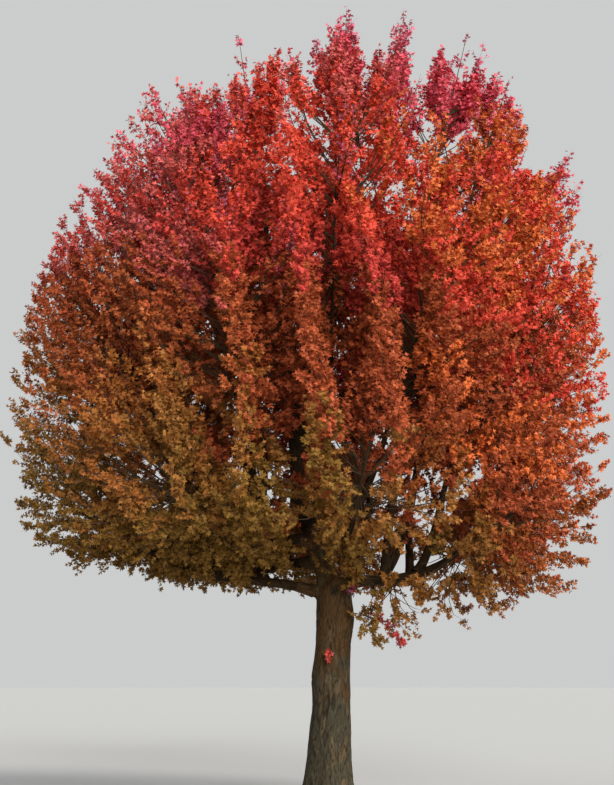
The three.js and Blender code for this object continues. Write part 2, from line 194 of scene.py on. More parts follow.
# Bark colours, linear, where its fibres are darkest and lightest.
BARK_COLOURS = {
    "plates": {"dark": (0.034, 0.016, 0.005), "light": (0.165, 0.083, 0.026), "light_at": 0.70},
    "inner": {"dark": (0.064, 0.040, 0.017), "light": (0.165, 0.112, 0.055), "light_at": 0.68},
    "grey": {"dark": (0.016, 0.015, 0.009), "light": (0.105, 0.097, 0.060), "light_at": 0.70},
    # The furrows' near-black colour is painted shade deep in the cracks and between the plates.
    "painted_furrow_shade": {"dark": (0.010, 0.006, 0.003), "light": (0.030, 0.019, 0.009), "light_at": 0.70},
}
DARK_AT = 0.30
TRUNK_SHADE = 0.61
# The limbs' bark is darker than the trunk's, partly its own colour and partly painted shade of the crown
# around them.
LIMB_SHADE = 0.32
FIBRES = {"Scale": 70, "Detail": 7, "Roughness": 0.68}
FIBRE_STRETCH = (1, 1, 0.2)
FIBRE_BUMP = {"Strength": 0.8, "Distance": 0.006}
# Each of these turns a range, its first two numbers, into another: the fibres into roughness, the height
# into more or less grey, and the grey patches' noise into the grey's share.
FIBRE_ROUGHNESS = (0.3, 0.7, 0.74, 0.95)
GREY_BY_HEIGHT = (0.9, 1.9, 0.25, -0.12)
GREY_SHARE = (0.45, 0.62, 0.0, 0.85)
GREY_PATCHES = {"Scale": 3.2, "Detail": 4}
BARK_SHINE = 0.12

# Shoots
STEPS = {"level": 0.7549, "turn": 0.5698, "depth": 0.618, "reach": 0.4142, "stray": 0.7236}
SHOOTS = 2450
SHELL = 0.1
# How strongly the shoots gather at the crown's skin, at its foot and at its top.
GATHER = (1.3, 2.0)
GATHER_LEVELS = (-1, 0.4)
# How far the shoots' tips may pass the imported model's box.
TIP_ROOM = 0.05
STEM_RADII = (0.033, 0.003)
STEM_TAPER = 0.8
STEM_RINGS = 14
STEM_SIDES = 7
SHOOT_RINGS = 5
SHOOT_FOOT = (0.005, 0.004)
SHOOT_TIP = 0.0025
LONGEST_SHOOT = 2.9
SHORTEST_SHOOT = 0.4
SHOOT_LEAN = 1.35
SHOOT_BEND = 0.4
# How far a low shoot's end turns aside, as a share of its direction of growth.
STRAY = 0.5
# The share of a shoot's length at which it is judged whether the shoot falls in a thin place.
LEAFY_MIDDLE = 0.7
# Where shoots may start, as shares of a stem and of a bare limb, each looked at in so many points.
STEM_STARTS = (0.06, 0.71)
LIMB_STARTS = (0.3, 0.98)
START_POINTS = 9
# How much further a bare limb may be than a stem before a shoot grows from it.
WOOD_LAG = 0.35
# The share of a limb over which the shoots that crowd at its foot are spread.
START_SPREAD = 0.3

# Towards the top the shoots are drawn together into spires: strong ones rise past the crown's skin and
# weak ones stay behind it. FIRST_SPIRE and CLUMPS_FROM are chosen so that the skyline is the photo's.
SPIRES = 400
FIRST_SPIRE = 60
SPIRE_WIDTH = 0.14
SPIRE_PULL = 0.8
SPIRE = 0.5
TALL_SPIRE = 1.6
# What makes up a shoot's rise: a part for all, one by chance and one that grows towards the spire's middle.
RISE_PARTS = (0.3, 0.2, 0.5)
# How far the left spires rise as a share of the right ones, and where across the crown that changes.
LEFT_SPIRES = 0.65
LEFT_TO_RIGHT = (-2.5, 0.3)
# The outline's own peaks draw in shoots from this much further, as a difference of cosines.
PEAK_DRAW = 0.004
# How far those peaks stand before and behind the plane of the trunk.
PEAK_DEPTH = 0.6
VALLEY = 0.45
# The heights between which spires set in, which fall to the right by this share.
SPIRE_HEIGHTS = (7.3, 10.0)
SPIRE_TILT = 0.25
# Only shoots nearer to the skin than this rise past it.
RISING_FROM = 0.7
FLANK_REACH = 0.15
# The peaks and notches of the crown's outline, from right to left, across and up in the plane of the trunk.
OUTLINE = [
    (4.0, 5.5), (4.0, 6.5), (3.8, 7.1), (4.0, 7.6), (3.8, 8.5), (3.7, 9.3), (3.2, 8.8), (3.0, 9.5),
    (2.6, 10.4), (2.4, 10.9), (2.1, 10.6), (1.6, 11.0), (1.2, 11.4), (0.8, 11.0), (0.4, 11.4), (0.0, 11.2),
    (-0.4, 10.8), (-1.3, 10.5), (-1.5, 10.2), (-2.1, 10.2), (-2.4, 10.0), (-2.6, 10.4), (-2.8, 9.9),
    (-3.3, 8.9), (-3.8, 8.3), (-3.9, 7.7), (-4.4, 6.2), (-4.5, 5.5),
]
# How far the last leaves pass a shoot's tip, and how much lower than its peak a spire's edge keeps.
TIP_LEAVES = 0.05
OUTLINE_EASE = 0.12

# Thin places in the foliage, as seen in the plane of the trunk: middle, half size and share of twigs lost.
# One is thin in the tree's front half only.
OPENINGS = [
    {"at": (1.15, 3.90), "size": (0.65, 0.60), "lost": 0.65},
    {"at": (1.10, 3.10), "size": (0.95, 0.25), "lost": 0.95},
    {"at": (1.25, 2.45), "size": (1.40, 0.35), "lost": 0.75},
    {"at": (-0.55, 2.92), "size": (0.50, 0.20), "lost": 0.8},
    {"at": (-0.25, 3.75), "size": (0.22, 0.65), "lost": 0.92, "front_only": True},
    {"at": (0.65, 8.70), "size": (0.22, 0.65), "lost": 0.85},
    {"at": (-0.27, 9.60), "size": (0.30, 0.35), "lost": 0.8},
    {"at": (1.24, 8.40), "size": (0.25, 0.40), "lost": 0.6},
    {"at": (1.80, 9.40), "size": (0.30, 0.30), "lost": 0.7},
    {"at": (2.55, 7.90), "size": (0.20, 0.32), "lost": 0.85},
    {"at": (3.10, 8.95), "size": (0.18, 0.40), "lost": 0.85},
    {"at": (3.30, 7.50), "size": (0.22, 0.25), "lost": 0.5},
    {"at": (-2.35, 9.75), "size": (0.15, 0.45), "lost": 0.8},
    {"at": (-1.60, 6.35), "size": (0.35, 0.30), "lost": 0.5},
    {"at": (-2.65, 6.35), "size": (0.25, 0.25), "lost": 0.5},
    {"at": (-2.70, 4.40), "size": (0.40, 0.30), "lost": 0.5},
    {"at": (-1.70, 5.60), "size": (0.30, 0.30), "lost": 0.4},
]
# The share of that loss that whole shoots share in.
OPENING_SHOOTS = 0.5
# Towards the top the crown's skin is airy: the share of its weak shoots that are lost, and that are bare.
AIRY_HEIGHTS = (6.3, 9.6)
AIRY_TILT = 0.2
AIRY_SKIN = (0.72, 0.98)
AIRY_LOST = 0.75
AIRY_BARE = 0.9
# How quickly strong shoots give way to weak ones, across and up, to the metre.
CLUMPS = (1.5, 0.5)
CLUMPS_FROM = 55.5
CLUMP_EDGES = (-0.22, 0.12)
# The share of its leaves that a bare shoot keeps, and their size.
BARE_KEEP = 0.3
BARE_LEAF = 0.8
TIP_THINNING = 0.78

# Twigs and leaves. Where something is left to chance, the first number is the least and the second is how
# much more it may be.
LEAFY_LENGTH = 1.55
LEAFY_SHARE = 0.8
TWIG_NODES = 5
TWIG_PLACE = (0.25, 0.5)
TWIG_LENGTHS = (0.36, 0.14)
TWIG_LENGTH_CHANCE = (0.7, 0.6)
TWIG_ANGLES = (40.0, 25.0)
TWIG_ANGLE_CHANCE = (0.8, 0.4)
# The turns of twigs and leaves round their wood, in radians, change by chance by up to this in all.
TWIG_TURN_CHANCE = 0.5
LEAF_TURN_CHANCE = 0.9
# A twig bends back to its shoot's way: the shares of its own heading and of that way in its end.
TWIG_HEADING = (0.85, 0.15)
TWIG_FOOT = 0.0032
# The twig at a shoot's tip: the share of the shoot where it starts, and its share of a last twig's length.
TIP_TWIG_START = 0.95
TIP_TWIG_LENGTH = 0.6
LEAF_NODES = 9
LEAF_PLACE = 0.6
LEAF_PLACE_CHANCE = 0.5
# A twig shorter than this carries fewer leaves, down to the share given.
LEAFY_TWIG = 0.26
LEAST_LEAVES = 0.4
LEAF_LENGTH = 0.064
LEAF_LENGTH_CHANCE = (0.78, 0.44)
# A leaf's length at its twig's foot, and how much of it is lost towards the twig's end.
LEAF_SHRINK = (1.05, 0.2)
# Leaves deep in the crown are larger by this share.
INNER_GAIN = 0.25
INNER_EDGES = (0.35, 0.85)
# How far a leaf leans away from its twig, in pairs and at the twig's end.
PAIR_LEAN = 1.0
END_LEAN = 0.1
LEAF_FORWARD = (0.75, 0.2)
LEAF_SAG = 0.12
# What a leaf faces: out of the crown, up, away from its twig and anywhere.
LEAF_FACING = {"out": 0.5, "up": 0.4, "aside": 0.3, "chance": 0.6}
# Leaf outline as shares of its length: how far along, how far to the side and how far down.
LEAF_LOBE = (0.55, 0.62, 0.16)
LEAF_TONGUE = (0.30, 0.30, 0.06)
LEAF_DROOP = 0.25
LEAF_TRIANGLES = 2
MOST_TRIANGLES = 190_000

# Sprouts that grow straight from the trunk. Twigs is the length of their twigs as a share of a shoot's,
# leafy is the share of their own length that carries them, and keep is the share of their leaves.
SPROUTS = {
    "low_sprout": {
        "height": 1.75, "towards": -96, "length": 0.26, "rise": 0.9,
        "twigs": 0.3, "leafy": 0.8, "keep": 0.18,
    },
    "head_sprout": {
        "height": 2.64, "towards": -62, "length": 0.30, "rise": 0.5,
        "twigs": 0.35, "leafy": 0.7, "keep": 0.18,
    },
    "hanging_sprout": {
        "height": 2.46, "towards": -8, "length": 0.76, "rise": -0.6,
        "twigs": 0.6, "leafy": 0.9, "keep": 0.7,
    },
}

# Autumn tints
TINTS = {
    "olive_green": 0x7E5A24,
    "olive_brown": 0x8E5C28,
    "gold_brown": 0x9E5E2A,
    "brown": 0x8C4A1E,
    "rust_brown": 0xA0522A,
    "rust": 0xA04A28,
    "orange": 0xC4602E,
    "scarlet": 0xCA4632,
    "deep_red": 0xB63C32,
    "dusky_red": 0xB8524A,
    "crimson": 0xC24854,
    "rose": 0xBC5A6E,
    "mauve": 0x84485C,
}
LEAF_ROUGHNESS = 0.6
LEAF_SHINE = 0.15
# Old and young twigs, each with its roughness. The old wood's dark brown is partly its own colour and
# partly painted shade, for twigs that lie in shade or are lit from behind.
TWIG_LOOKS = {"twig_old_shaded": (0x40301F, 0.8), "twig_young": (0x6A3424, 0.7)}
# From the least turned sprays to the most, on the left, in the middle and on the right. The left ladder's
# lighter dusky reds are partly painted light, making up for the shade that the lamps leave on the crown's
# left.
LADDERS = [
    ["olive_green", "olive_brown", "gold_brown", "rust_brown", "rust", "dusky_red", "deep_red",
     "dusky_red", "crimson", "dusky_red", "crimson", "rose"],
    ["olive_green", "olive_brown", "rust", "rust", "rust", "deep_red", "scarlet",
     "scarlet", "scarlet", "dusky_red", "crimson", "rose"],
    ["olive_brown", "brown", "rust", "orange", "rust", "scarlet", "orange",
     "scarlet", "orange", "crimson", "crimson", "rose"],
]
# Where each side's tints give way to the next.
LADDER_EDGES = [(-2.5, -0.2), (-0.4, 2.2)]
# The tints turn from this height up, lower on the right, and have all turned after this much more.
RIPE_FROM = 2.9
RIPE_TILT = 0.2
RIPE_SPAN = 8.4
# How much chance changes that, and how much riper the crown's skin is than its inside, high up: the redder,
# pinker skin is partly painted glow of leaves that the sky lights through.
RIPE_CHANCE = 0.26
CHANCE_MIDDLE = 0.45
RIM_RIPENESS_AND_GLOW = 0.12
RIM_EDGES = (0.75, 1.05)
RIM_HEIGHTS = (5, 8)
# Neighbouring shoots turn alike: how quickly that changes, across and up, and how far it goes.
PATCHES = (0.85, 0.3)
PATCH_CONTRAST = 1.1
PATCH_SHARE = 0.65
SIDE_PATCHES_FROM = 11.0
RIPE_PATCHES_FROM = 23.0
# The shares that a shoot and a twig have in the chance of a spray's tint.
SPRAY_CHANCE = (0.85, 0.15)
SPROUT_TINTS = ["dusky_red", "rust", "deep_red", "mauve", "deep_red"]
# The bare shoots' leaves stand against the sky high up; the dark mauve among them is partly painted shade
# of leaves lit from behind.
BARE_TINTS = ["mauve", "crimson", "dusky_red", "rose", "crimson"]


def radians(degrees):
    return math.radians(degrees)


def linear(value):
    """The linear colour of an sRGB hex number."""
    channels = [(value >> shift & 255) / 255 for shift in (16, 8, 0)]
    return [c / 12.92 if c <= 0.04045 else ((c + 0.055) / 1.055) ** 2.4 for c in channels]


def unit(vectors):
    return vectors / np.linalg.norm(vectors, axis=-1, keepdims=True)


def smooth(low, high, x):
    t = np.clip((x - low) / (high - low), 0, 1)
    return t * t * (3 - 2 * t)


def around(first, second, turn):
    """The way that lies a turn, in radians, from the first of two ways towards the second."""
    return first * np.cos(turn)[..., None] + second * np.sin(turn)[..., None]


def polar(radius, turn, height):
    """Points at a radius from an upright axis, at a turn round it and at a height."""
    return np.stack(np.broadcast_arrays(radius * np.cos(turn), radius * np.sin(turn), height), axis=-1)


def stretched(p, scale):
    """Points scaled by the first number across and by the second up."""
    across, up = scale
    return p * (across, across, up)


def drift(p, scale, offset=0.0):
    """Noise that changes from place to place, with its steps across and up given to the metre."""
    return np.array([noise.noise(at) for at in stretched(p, scale) + (offset, 0, 0)])


def add_object(name, data):
    made = bpy.data.objects.new(name, data)
    bpy.context.scene.collection.objects.link(made)
    return made


# Camera
camera_data = bpy.data.cameras.new("camera")
camera_data.lens = LENS
camera_data.sensor_width = 36.0
camera_data.clip_end = 2000.0
camera = add_object("camera", camera_data)
camera.location = CAMERA_PLACE
camera.rotation_euler = (radians(90 + CAMERA_PITCH), 0, 0)
bpy.context.scene.camera = camera


# The crown's outline
def crown_middle(z):
    t = np.maximum(0, (z - WIDEST_HEIGHT) / (CROWN_TOP - WIDEST_HEIGHT))
    return MIDDLE_AT_WIDEST + (MIDDLE_AT_TOP - MIDDLE_AT_WIDEST) * t * t


def reach_towards(azimuth):
    x = np.cos(azimuth) / np.where(np.cos(azimuth) > 0, REACH["right"], REACH["left"])
    y = np.sin(azimuth) / np.where(np.sin(azimuth) > 0, REACH["back"], REACH["front"])
    return 1 / np.hypot(x, y)


def underside_towards(azimuth):
    front = np.maximum(0, -np.sin(azimuth)) ** 2
    right = np.maximum(0, np.cos(azimuth - radians(UNDERSIDE_DROP_TOWARDS))) ** 6
    return UNDERSIDE + UNDERSIDE_FRONT_LIFT * front - UNDERSIDE_RIGHT_DROP * right


def dome_roundness(azimuth):
    share = (1 + np.cos(azimuth)) / 2
    return DOME_ROUNDNESS["left"] + (DOME_ROUNDNESS["right"] - DOME_ROUNDNESS["left"]) * share


def height_share(z, azimuth):
    above = np.maximum(0, z - WIDEST_HEIGHT) / (CROWN_TOP - WIDEST_HEIGHT)
    below = np.maximum(0, WIDEST_HEIGHT - z) / (WIDEST_HEIGHT - underside_towards(azimuth))
    return np.where(z > WIDEST_HEIGHT, above ** dome_roundness(azimuth), below**BOWL_ROUNDNESS)


def fullness(p):
    """0 in the heart of the crown and 1 on its skin."""
    x = p[..., 0] - crown_middle(p[..., 2])
    azimuth = np.arctan2(p[..., 1], x)
    plan = (np.hypot(x, p[..., 1]) / reach_towards(azimuth)) ** PLAN_ROUNDNESS
    return plan + height_share(p[..., 2], azimuth)


def tip_point(azimuth, z):
    radius = reach_towards(azimuth) * (1 - height_share(z, azimuth)) ** (1 / PLAN_ROUNDNESS)
    x = crown_middle(z) + TIP_DEPTH * radius * np.cos(azimuth)
    return np.array([x, TIP_DEPTH * radius * np.sin(azimuth), z])


def growth(p):
    return unit(p - FOCUS)


def direction(azimuth, rise):
    return unit(np.array([math.cos(azimuth), math.sin(azimuth), rise]))


class Curve:
    """A Bezier curve, read by the share of its length."""

    STEPS = 200

    def __init__(self, *controls):
        self.controls = np.array(controls, float)
        self.t = np.linspace(0, 1, self.STEPS + 1)
        self.points = self.bezier(self.t)
        lengths = np.linalg.norm(np.diff(self.points, axis=0), axis=1)
        self.along = np.concatenate([[0], np.cumsum(lengths)])
        self.length = self.along[-1]

    def bezier(self, t):
        points = [np.broadcast_to(c, (len(t), 3)) for c in self.controls]
        while len(points) > 1:
            points = [a + (b - a) * t[:, None] for a, b in zip(points, points[1:])]
        return points[0]

    def at(self, share):
        t = np.interp(np.atleast_1d(share) * self.length, self.along, self.t)
        return self.bezier(t)

    def tangent(self, share):
        share = np.atleast_1d(share)
        return unit(self.at(np.minimum(1, share + 0.002)) - self.at(np.maximum(0, share - 0.002)))


def grown(start, out, end, pull=BOUGH_PULL):
    """A curve that leaves start along out and reaches end along its own direction of growth."""
    length = np.linalg.norm(end - start)
    return Curve(start, start + out * length * pull, end - growth(end) * length * pull, end)


# Limbs and boughs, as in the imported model
def trunk_middle(z):
    lean = TRUNK_LEAN * np.sin(np.pi / 2 * np.asarray(z) / TRUNK_HEIGHT)
    return np.stack([lean, np.zeros_like(lean), np.asarray(z, float)], axis=-1)


def trunk_radius(z, angle):
    foot = np.exp(-z / FLARE_HEIGHT)
    lobes = 1 - LOBE_DEPTH + LOBE_DEPTH * np.cos(FLARE_LOBES * angle + 0.6)
    radius = TRUNK_RADIUS + FOOT_TAPER * (1 - smooth(0, TAPER_HEIGHT, z)) + FLARE * foot * lobes
    for knot in SWELLINGS:
        turn = np.maximum(0, np.cos(angle - radians(knot["towards"])))
        radius = radius + knot["swell"] * np.exp(-(((z - knot["height"]) / knot["spread"]) ** 2)) * turn
    head = smooth(TRUNK_HEIGHT - HEAD_HEIGHT, TRUNK_HEIGHT, z)
    return radius * (1 - HEAD_SHRINK * head * head)


limbs = {}
stems = {}


def add_limb(name, curve, radii):
    limbs[name] = {"curve": curve, "radii": radii}
    return limbs[name]


def bough_end(tip):
    return FOCUS + (tip - FOCUS) * BOUGH_SHARE


def add_stem(mass, tip, bough):
    """The stem on which a mass of foliage grows on from its bough."""
    curve = bough["curve"]
    stems[mass] = grown(curve.at(1)[0], curve.tangent(1)[0], tip)


top_tip = np.array([MIDDLE_AT_TOP, 0, CROWN_TOP])
leader_end = bough_end(top_tip)
leader_start = trunk_middle(TRUNK_HEIGHT - HEAD_HEIGHT)
leader_curve = Curve(
    leader_start,
    leader_start + [LEADER_BOW * 0.55, 0, leader_end[2] * 0.2],
    leader_end + [LEADER_BOW, 0, -leader_end[2] * 0.25],
    leader_end,
)
leader = add_limb("leader", leader_curve, LEADER_RADII)
add_stem("top_foliage", top_tip, leader)

for i in range(CREST_BOUGHS):
    azimuth = 2 * math.pi * (i + 0.5) / CREST_BOUGHS
    tip = tip_point(azimuth, CREST["tip_height"])
    turn = ((i * 5) % CREST_BOUGHS) / (CREST_BOUGHS - 1)
    start = leader_curve.at(CREST["first"] + (CREST["last"] - CREST["first"]) * turn)[0]
    curve = grown(start, direction(azimuth, CREST["rise"]), bough_end(tip))
    add_stem(f"crest_foliage_{i + 1}", tip, add_limb(f"crest_bough_{i + 1}", curve, BOUGH_RADII))

for k, settings in enumerate(LIMBS):
    azimuth = radians(FIRST_LIMB_TOWARDS + 360 / len(LIMBS) * k)
    height = settings["height"]
    spaced = leader_curve.at(leader_curve.t)
    start = trunk_middle(height) if height < TRUNK_HEIGHT else spaced[spaced[:, 2] >= height][0]
    tip = tip_point(azimuth, settings["tip_height"])
    curve = grown(start, direction(azimuth, settings["rise"]), bough_end(tip), LIMB_PULL)
    limb = add_limb(f"limb_{k + 1}", curve, LIMB_RADII)
    add_stem(f"skirt_foliage_{k + 1}", tip, limb)
    for ring, rule in RINGS.items():
        tip = tip_point(azimuth + radians(rule["turn"]), rule["tip_height"])
        out = direction(azimuth + radians(math.copysign(RISER_TURN, rule["turn"])), RISER_RISE)
        curve = grown(limb["curve"].at(rule["start"])[0], out, bough_end(tip))
        add_stem(f"{ring}_foliage_{k + 1}", tip, add_limb(f"{ring}_bough_{k + 1}", curve, BOUGH_RADII))


# Mesh building
def make_object(name, vertices, faces, materials, face_material=None, shade_smooth=False):
    """A mesh object from an array of points and an array of triangles or quads."""
    mesh = bpy.data.meshes.new(name)
    count, sides = faces.shape
    mesh.vertices.add(len(vertices))
    mesh.vertices.foreach_set("co", np.ascontiguousarray(vertices, np.float32).ravel())
    mesh.loops.add(count * sides)
    mesh.loops.foreach_set("vertex_index", np.ascontiguousarray(faces, np.int32).ravel())
    mesh.polygons.add(count)
    mesh.polygons.foreach_set("loop_start", np.arange(0, count * sides, sides, dtype=np.int32))
    for material in materials:
        mesh.materials.append(material)
    if face_material is not None:
        mesh.polygons.foreach_set("material_index", np.ascontiguousarray(face_material, np.int32))
    mesh.polygons.foreach_set("use_smooth", np.full(count, shade_smooth))
    mesh.update(calc_edges=True)
    return add_object(name, mesh)


def joined(parts):
    """One array of points and one of faces from pairs of such arrays."""
    firsts = np.cumsum([0] + [len(points) for points, _ in parts[:-1]])
    faces = [faces + first for (_, faces), first in zip(parts, firsts)]
    return np.concatenate([points for points, _ in parts]), np.concatenate(faces)


def triangles_of(quads):
    return np.concatenate([quads[:, [0, 1, 2]], quads[:, [0, 2, 3]]])


def frames(points):
    """The tangent of a line of points at each point, and two directions square to it without twist."""
    tangents = unit(np.gradient(points, axis=0))
    first = np.cross(tangents[0], [0.0, 0.0, 1.0])
    if np.linalg.norm(first) < 0.1:
        first = np.cross(tangents[0], [0.0, 1.0, 0.0])
    normals = [unit(first)]
    for tangent in tangents[1:]:
        normal = normals[-1] - tangent * np.dot(normals[-1], tangent)
        normals.append(unit(normal))
    normals = np.array(normals)
    return tangents, normals, np.cross(tangents, normals)


def tube_faces(rings, sides):
    """Quads between rings of points, each ring turned the same way."""
    ring, side = np.meshgrid(np.arange(rings - 1), np.arange(sides), indexing="ij")
    here = ring * sides + side
    beside = ring * sides + (side + 1) % sides
    return np.stack([here, beside, beside + sides, here + sides], axis=-1).reshape(-1, 4)


def tube(points, radii, sides):
    """Rings of points round a line, and the way out from the line to each."""
    _, normals, binormals = frames(points)
    angle = np.linspace(0, 2 * np.pi, sides, endpoint=False)
    out = around(normals[:, None], binormals[:, None], angle[None])
    return points[:, None] + out * radii[:, None, None], out


# Materials
def node_material(name):
    material = bpy.data.materials.new(name)
    material.use_nodes = True
    tree = material.node_tree
    return material, tree, tree.nodes["Principled BSDF"]


def add_node(tree, kind, **inputs):
    node = tree.nodes.new("ShaderNode" + kind)
    for name, value in inputs.items():
        node.inputs[name].default_value = value
    return node


def plain_material(name, colour, roughness):
    material, _, shader = node_material(name)
    shader.inputs["Base Color"].default_value = (*colour, 1)
    shader.inputs["Roughness"].default_value = roughness
    shader.inputs["Specular IOR Level"].default_value = LEAF_SHINE
    return material


def bark_material(name, shade):
    """Bark whose plates and furrows follow the relief of the mesh; shade darkens it."""
    material, tree, shader = node_material(name)
    link = tree.links.new

    def ramp(look):
        """The fibres' noise as a colour."""
        node = add_node(tree, "ValToRGB")
        ends = ((DARK_AT, look["dark"]), (look["light_at"], look["light"]))
        for element, (at, colour) in zip(node.color_ramp.elements, ends):
            element.position = at
            element.color = (*[c * shade for c in colour], 1)
        link(fibres.outputs["Fac"], node.inputs["Fac"])
        return node.outputs["Color"]

    def blend(factor, first, second):
        node = add_node(tree, "Mix")
        node.data_type = "RGBA"
        link(factor, node.inputs["Factor"])
        link(first, node.inputs["A"])
        link(second, node.inputs["B"])
        return node.outputs["Result"]

    def remap(value, ends):
        names = ("From Min", "From Max", "To Min", "To Max")
        node = add_node(tree, "MapRange", **dict(zip(names, ends)))
        link(value, node.inputs["Value"])
        return node.outputs["Result"]

    def share_of(name):
        """The values that the mesh carries under a name."""
        node = add_node(tree, "Attribute")
        node.attribute_name = name
        return node.outputs["Fac"]

    place = add_node(tree, "TexCoord")
    stretch = add_node(tree, "Mapping", Scale=FIBRE_STRETCH)
    link(place.outputs["Object"], stretch.inputs["Vector"])
    fibres = add_node(tree, "TexNoise", **FIBRES)
    link(stretch.outputs["Vector"], fibres.inputs["Vector"])
    plates, inner, grey, painted_furrow_shade = [ramp(look) for look in BARK_COLOURS.values()]

    # Grey weathering comes in patches, and more of it low down.
    broad = add_node(tree, "TexNoise", **GREY_PATCHES)
    link(place.outputs["Object"], broad.inputs["Vector"])
    height = add_node(tree, "SeparateXYZ")
    link(place.outputs["Object"], height.inputs["Vector"])
    greyness = add_node(tree, "Math")
    greyness.operation = "ADD"
    link(broad.outputs["Fac"], greyness.inputs[0])
    link(remap(height.outputs["Z"], GREY_BY_HEIGHT), greyness.inputs[1])
    weathered = remap(greyness.outputs["Value"], GREY_SHARE)

    skin = blend(share_of("peeled"), blend(weathered, plates, grey), inner)
    # The furrows are darkened towards near-black as painted shade.
    link(blend(share_of("furrow_shade"), skin, painted_furrow_shade), shader.inputs["Base Color"])
    link(remap(fibres.outputs["Fac"], FIBRE_ROUGHNESS), shader.inputs["Roughness"])
    shader.inputs["Specular IOR Level"].default_value = BARK_SHINE
    bump = add_node(tree, "Bump", **FIBRE_BUMP)
    link(fibres.outputs["Fac"], bump.inputs["Height"])
    link(bump.outputs["Normal"], shader.inputs["Normal"])
    return material


leaf_materials = [plain_material(f"leaf_{name}", linear(v), LEAF_ROUGHNESS) for name, v in TINTS.items()]
trunk_bark = bark_material("trunk_bark", TRUNK_SHADE)
limb_bark = bark_material("limb_bark", LIMB_SHADE)


# Bark relief
def bark_pattern(places, scale):
    """Furrow depth, which sets how far painted shade darkens the cracks and gaps, peeled share and height,
    in shares, for places in a limb's own frame.
    """
    p = places / scale
    warp = np.array([noise.noise_vector(at) for at in stretched(p, WARP)])
    crack_noise = np.array([noise.noise(at) for at in stretched(p, CRACKS) + warp * CRACK_WARP])
    crack = np.maximum(0, 1 - np.abs(crack_noise) / CRACK_WIDTH)
    plates = [noise.voronoi(at) for at in stretched(p, PLATES) + warp * PLATE_WARP]
    gap = np.maximum(0, 1 - np.array([near[1] - near[0] for near, _ in plates]) / PLATE_GAP)
    plate = np.array([noise.cell(centres[0] * 7.31) for _, centres in plates])
    patch = drift(p, PEELED_PATCHES, 9)
    bare = smooth(0, PEELED_EDGE, plate + PATCH_WEIGHT * patch - PEELED_ABOVE)
    # The cracks and the gaps between plates, where the colour is darkened as painted shade.
    furrow_shade = np.minimum(1, 0.8 * crack + 0.35 * gap)
    peeled = bare * (1 - 0.6 * gap)
    raised = RISE["flute"] * drift(p, FLUTES) + RISE["knot"] * drift(p, KNOTS, 3)
    raised = raised + RISE["plate"] * (plate - 0.5)
    return furrow_shade, peeled, raised - RISE["peeled"] * bare - RISE["crack"] * crack - RISE["gap"] * gap


def set_attribute(piece, name, values):
    attribute = piece.data.attributes.new(name, "FLOAT", "POINT")
    attribute.data.foreach_set("value", np.asarray(values, np.float32))


def limb_radius(limb, share):
    first, last = limb["radii"]
    return first + (last - first) * share


def collar(along, start, length):
    """How much thicker a limb is at a length along it than without the swelling at its foot."""
    return 1 + COLLAR * np.exp(-np.maximum(0, along - start) / length)


def closed_tube(vertices):
    """The points of a tube, its quads, and the fans drawn to a point that close its two ends."""
    rings, sides, _ = vertices.shape
    ends = np.array([vertices[0].mean(0), vertices[-1].mean(0)])
    side = np.arange(sides)
    beside = (side + 1) % sides
    foot, top = rings * sides, rings * sides + 1
    last = (rings - 1) * sides
    caps = np.concatenate(
        [
            np.stack([beside, side, np.full(sides, foot)], axis=1),
            np.stack([last + side, last + beside, np.full(sides, top)], axis=1),
        ]
    )
    return np.concatenate([vertices.reshape(-1, 3), ends]), tube_faces(rings, sides), caps


def trunk_surface():
    heights = np.linspace(0, TRUNK_HEIGHT, TRUNK_RINGS)
    angle = np.linspace(0, 2 * np.pi, TRUNK_SIDES, endpoint=False)
    z, turn = np.meshgrid(heights, angle, indexing="ij")
    return trunk_middle(heights)[:, None] + polar(trunk_radius(z, turn), turn, 0.0)


def stub_surface(name, length):
    limb = limbs[name]
    curve = limb["curve"]
    shares = np.linspace(0, length / curve.length, STUB_RINGS)
    along = shares * curve.length
    shrink = 1 - STUB_SHRINK * smooth(STUB_SHRINK_FROM, 1, along / length)
    radii = limb_radius(limb, shares) * collar(along, **STUB_COLLAR) * shrink
    return tube(curve.at(shares), radii, STUB_SIDES)[0]


def nearest_frame(points):
    """Each point's place in the frame of the trunk or limb that it lies on, and how thick that is."""
    heights = np.linspace(0, TRUNK_HEIGHT, 61)
    lines = [(trunk_middle(heights), np.full(len(heights), TRUNK_RADIUS * 1.1))]
    for name, length in STUBS.items():
        limb = limbs[name]
        shares = np.linspace(0, length * 1.1 / limb["curve"].length, STUB_RINGS)
        lines.append((limb["curve"].at(shares), limb_radius(limb, shares) * 1.15))
    closeness, places, sizes = [], [], []
    for index, (line, radii) in enumerate(lines):
        lengths = np.linalg.norm(np.diff(line, axis=0), axis=1)
        distance = np.linalg.norm(points[:, None] - line[None], axis=2)
        nearest = distance.argmin(axis=1)
        along = np.concatenate([[0], np.cumsum(lengths)])[nearest]
        offset = points - line[nearest]
        ahead, x, y = [(offset * ways[nearest]).sum(1) for ways in frames(line)]
        closeness.append(distance.min(axis=1) / radii[nearest])
        places.append(np.stack([x, y, along + ahead + index * PATTERN_SHIFT], axis=1))
        sizes.append(radii[nearest])
    chosen = np.argmin(closeness, axis=0), np.arange(len(points))
    return np.array(places)[chosen], np.array(sizes)[chosen]


def read_vectors(mesh, what):
    values = np.zeros(len(mesh.vertices) * 3, np.float32)
    mesh.vertices.foreach_get(what, values)
    return values.reshape(-1, 3).astype(float)


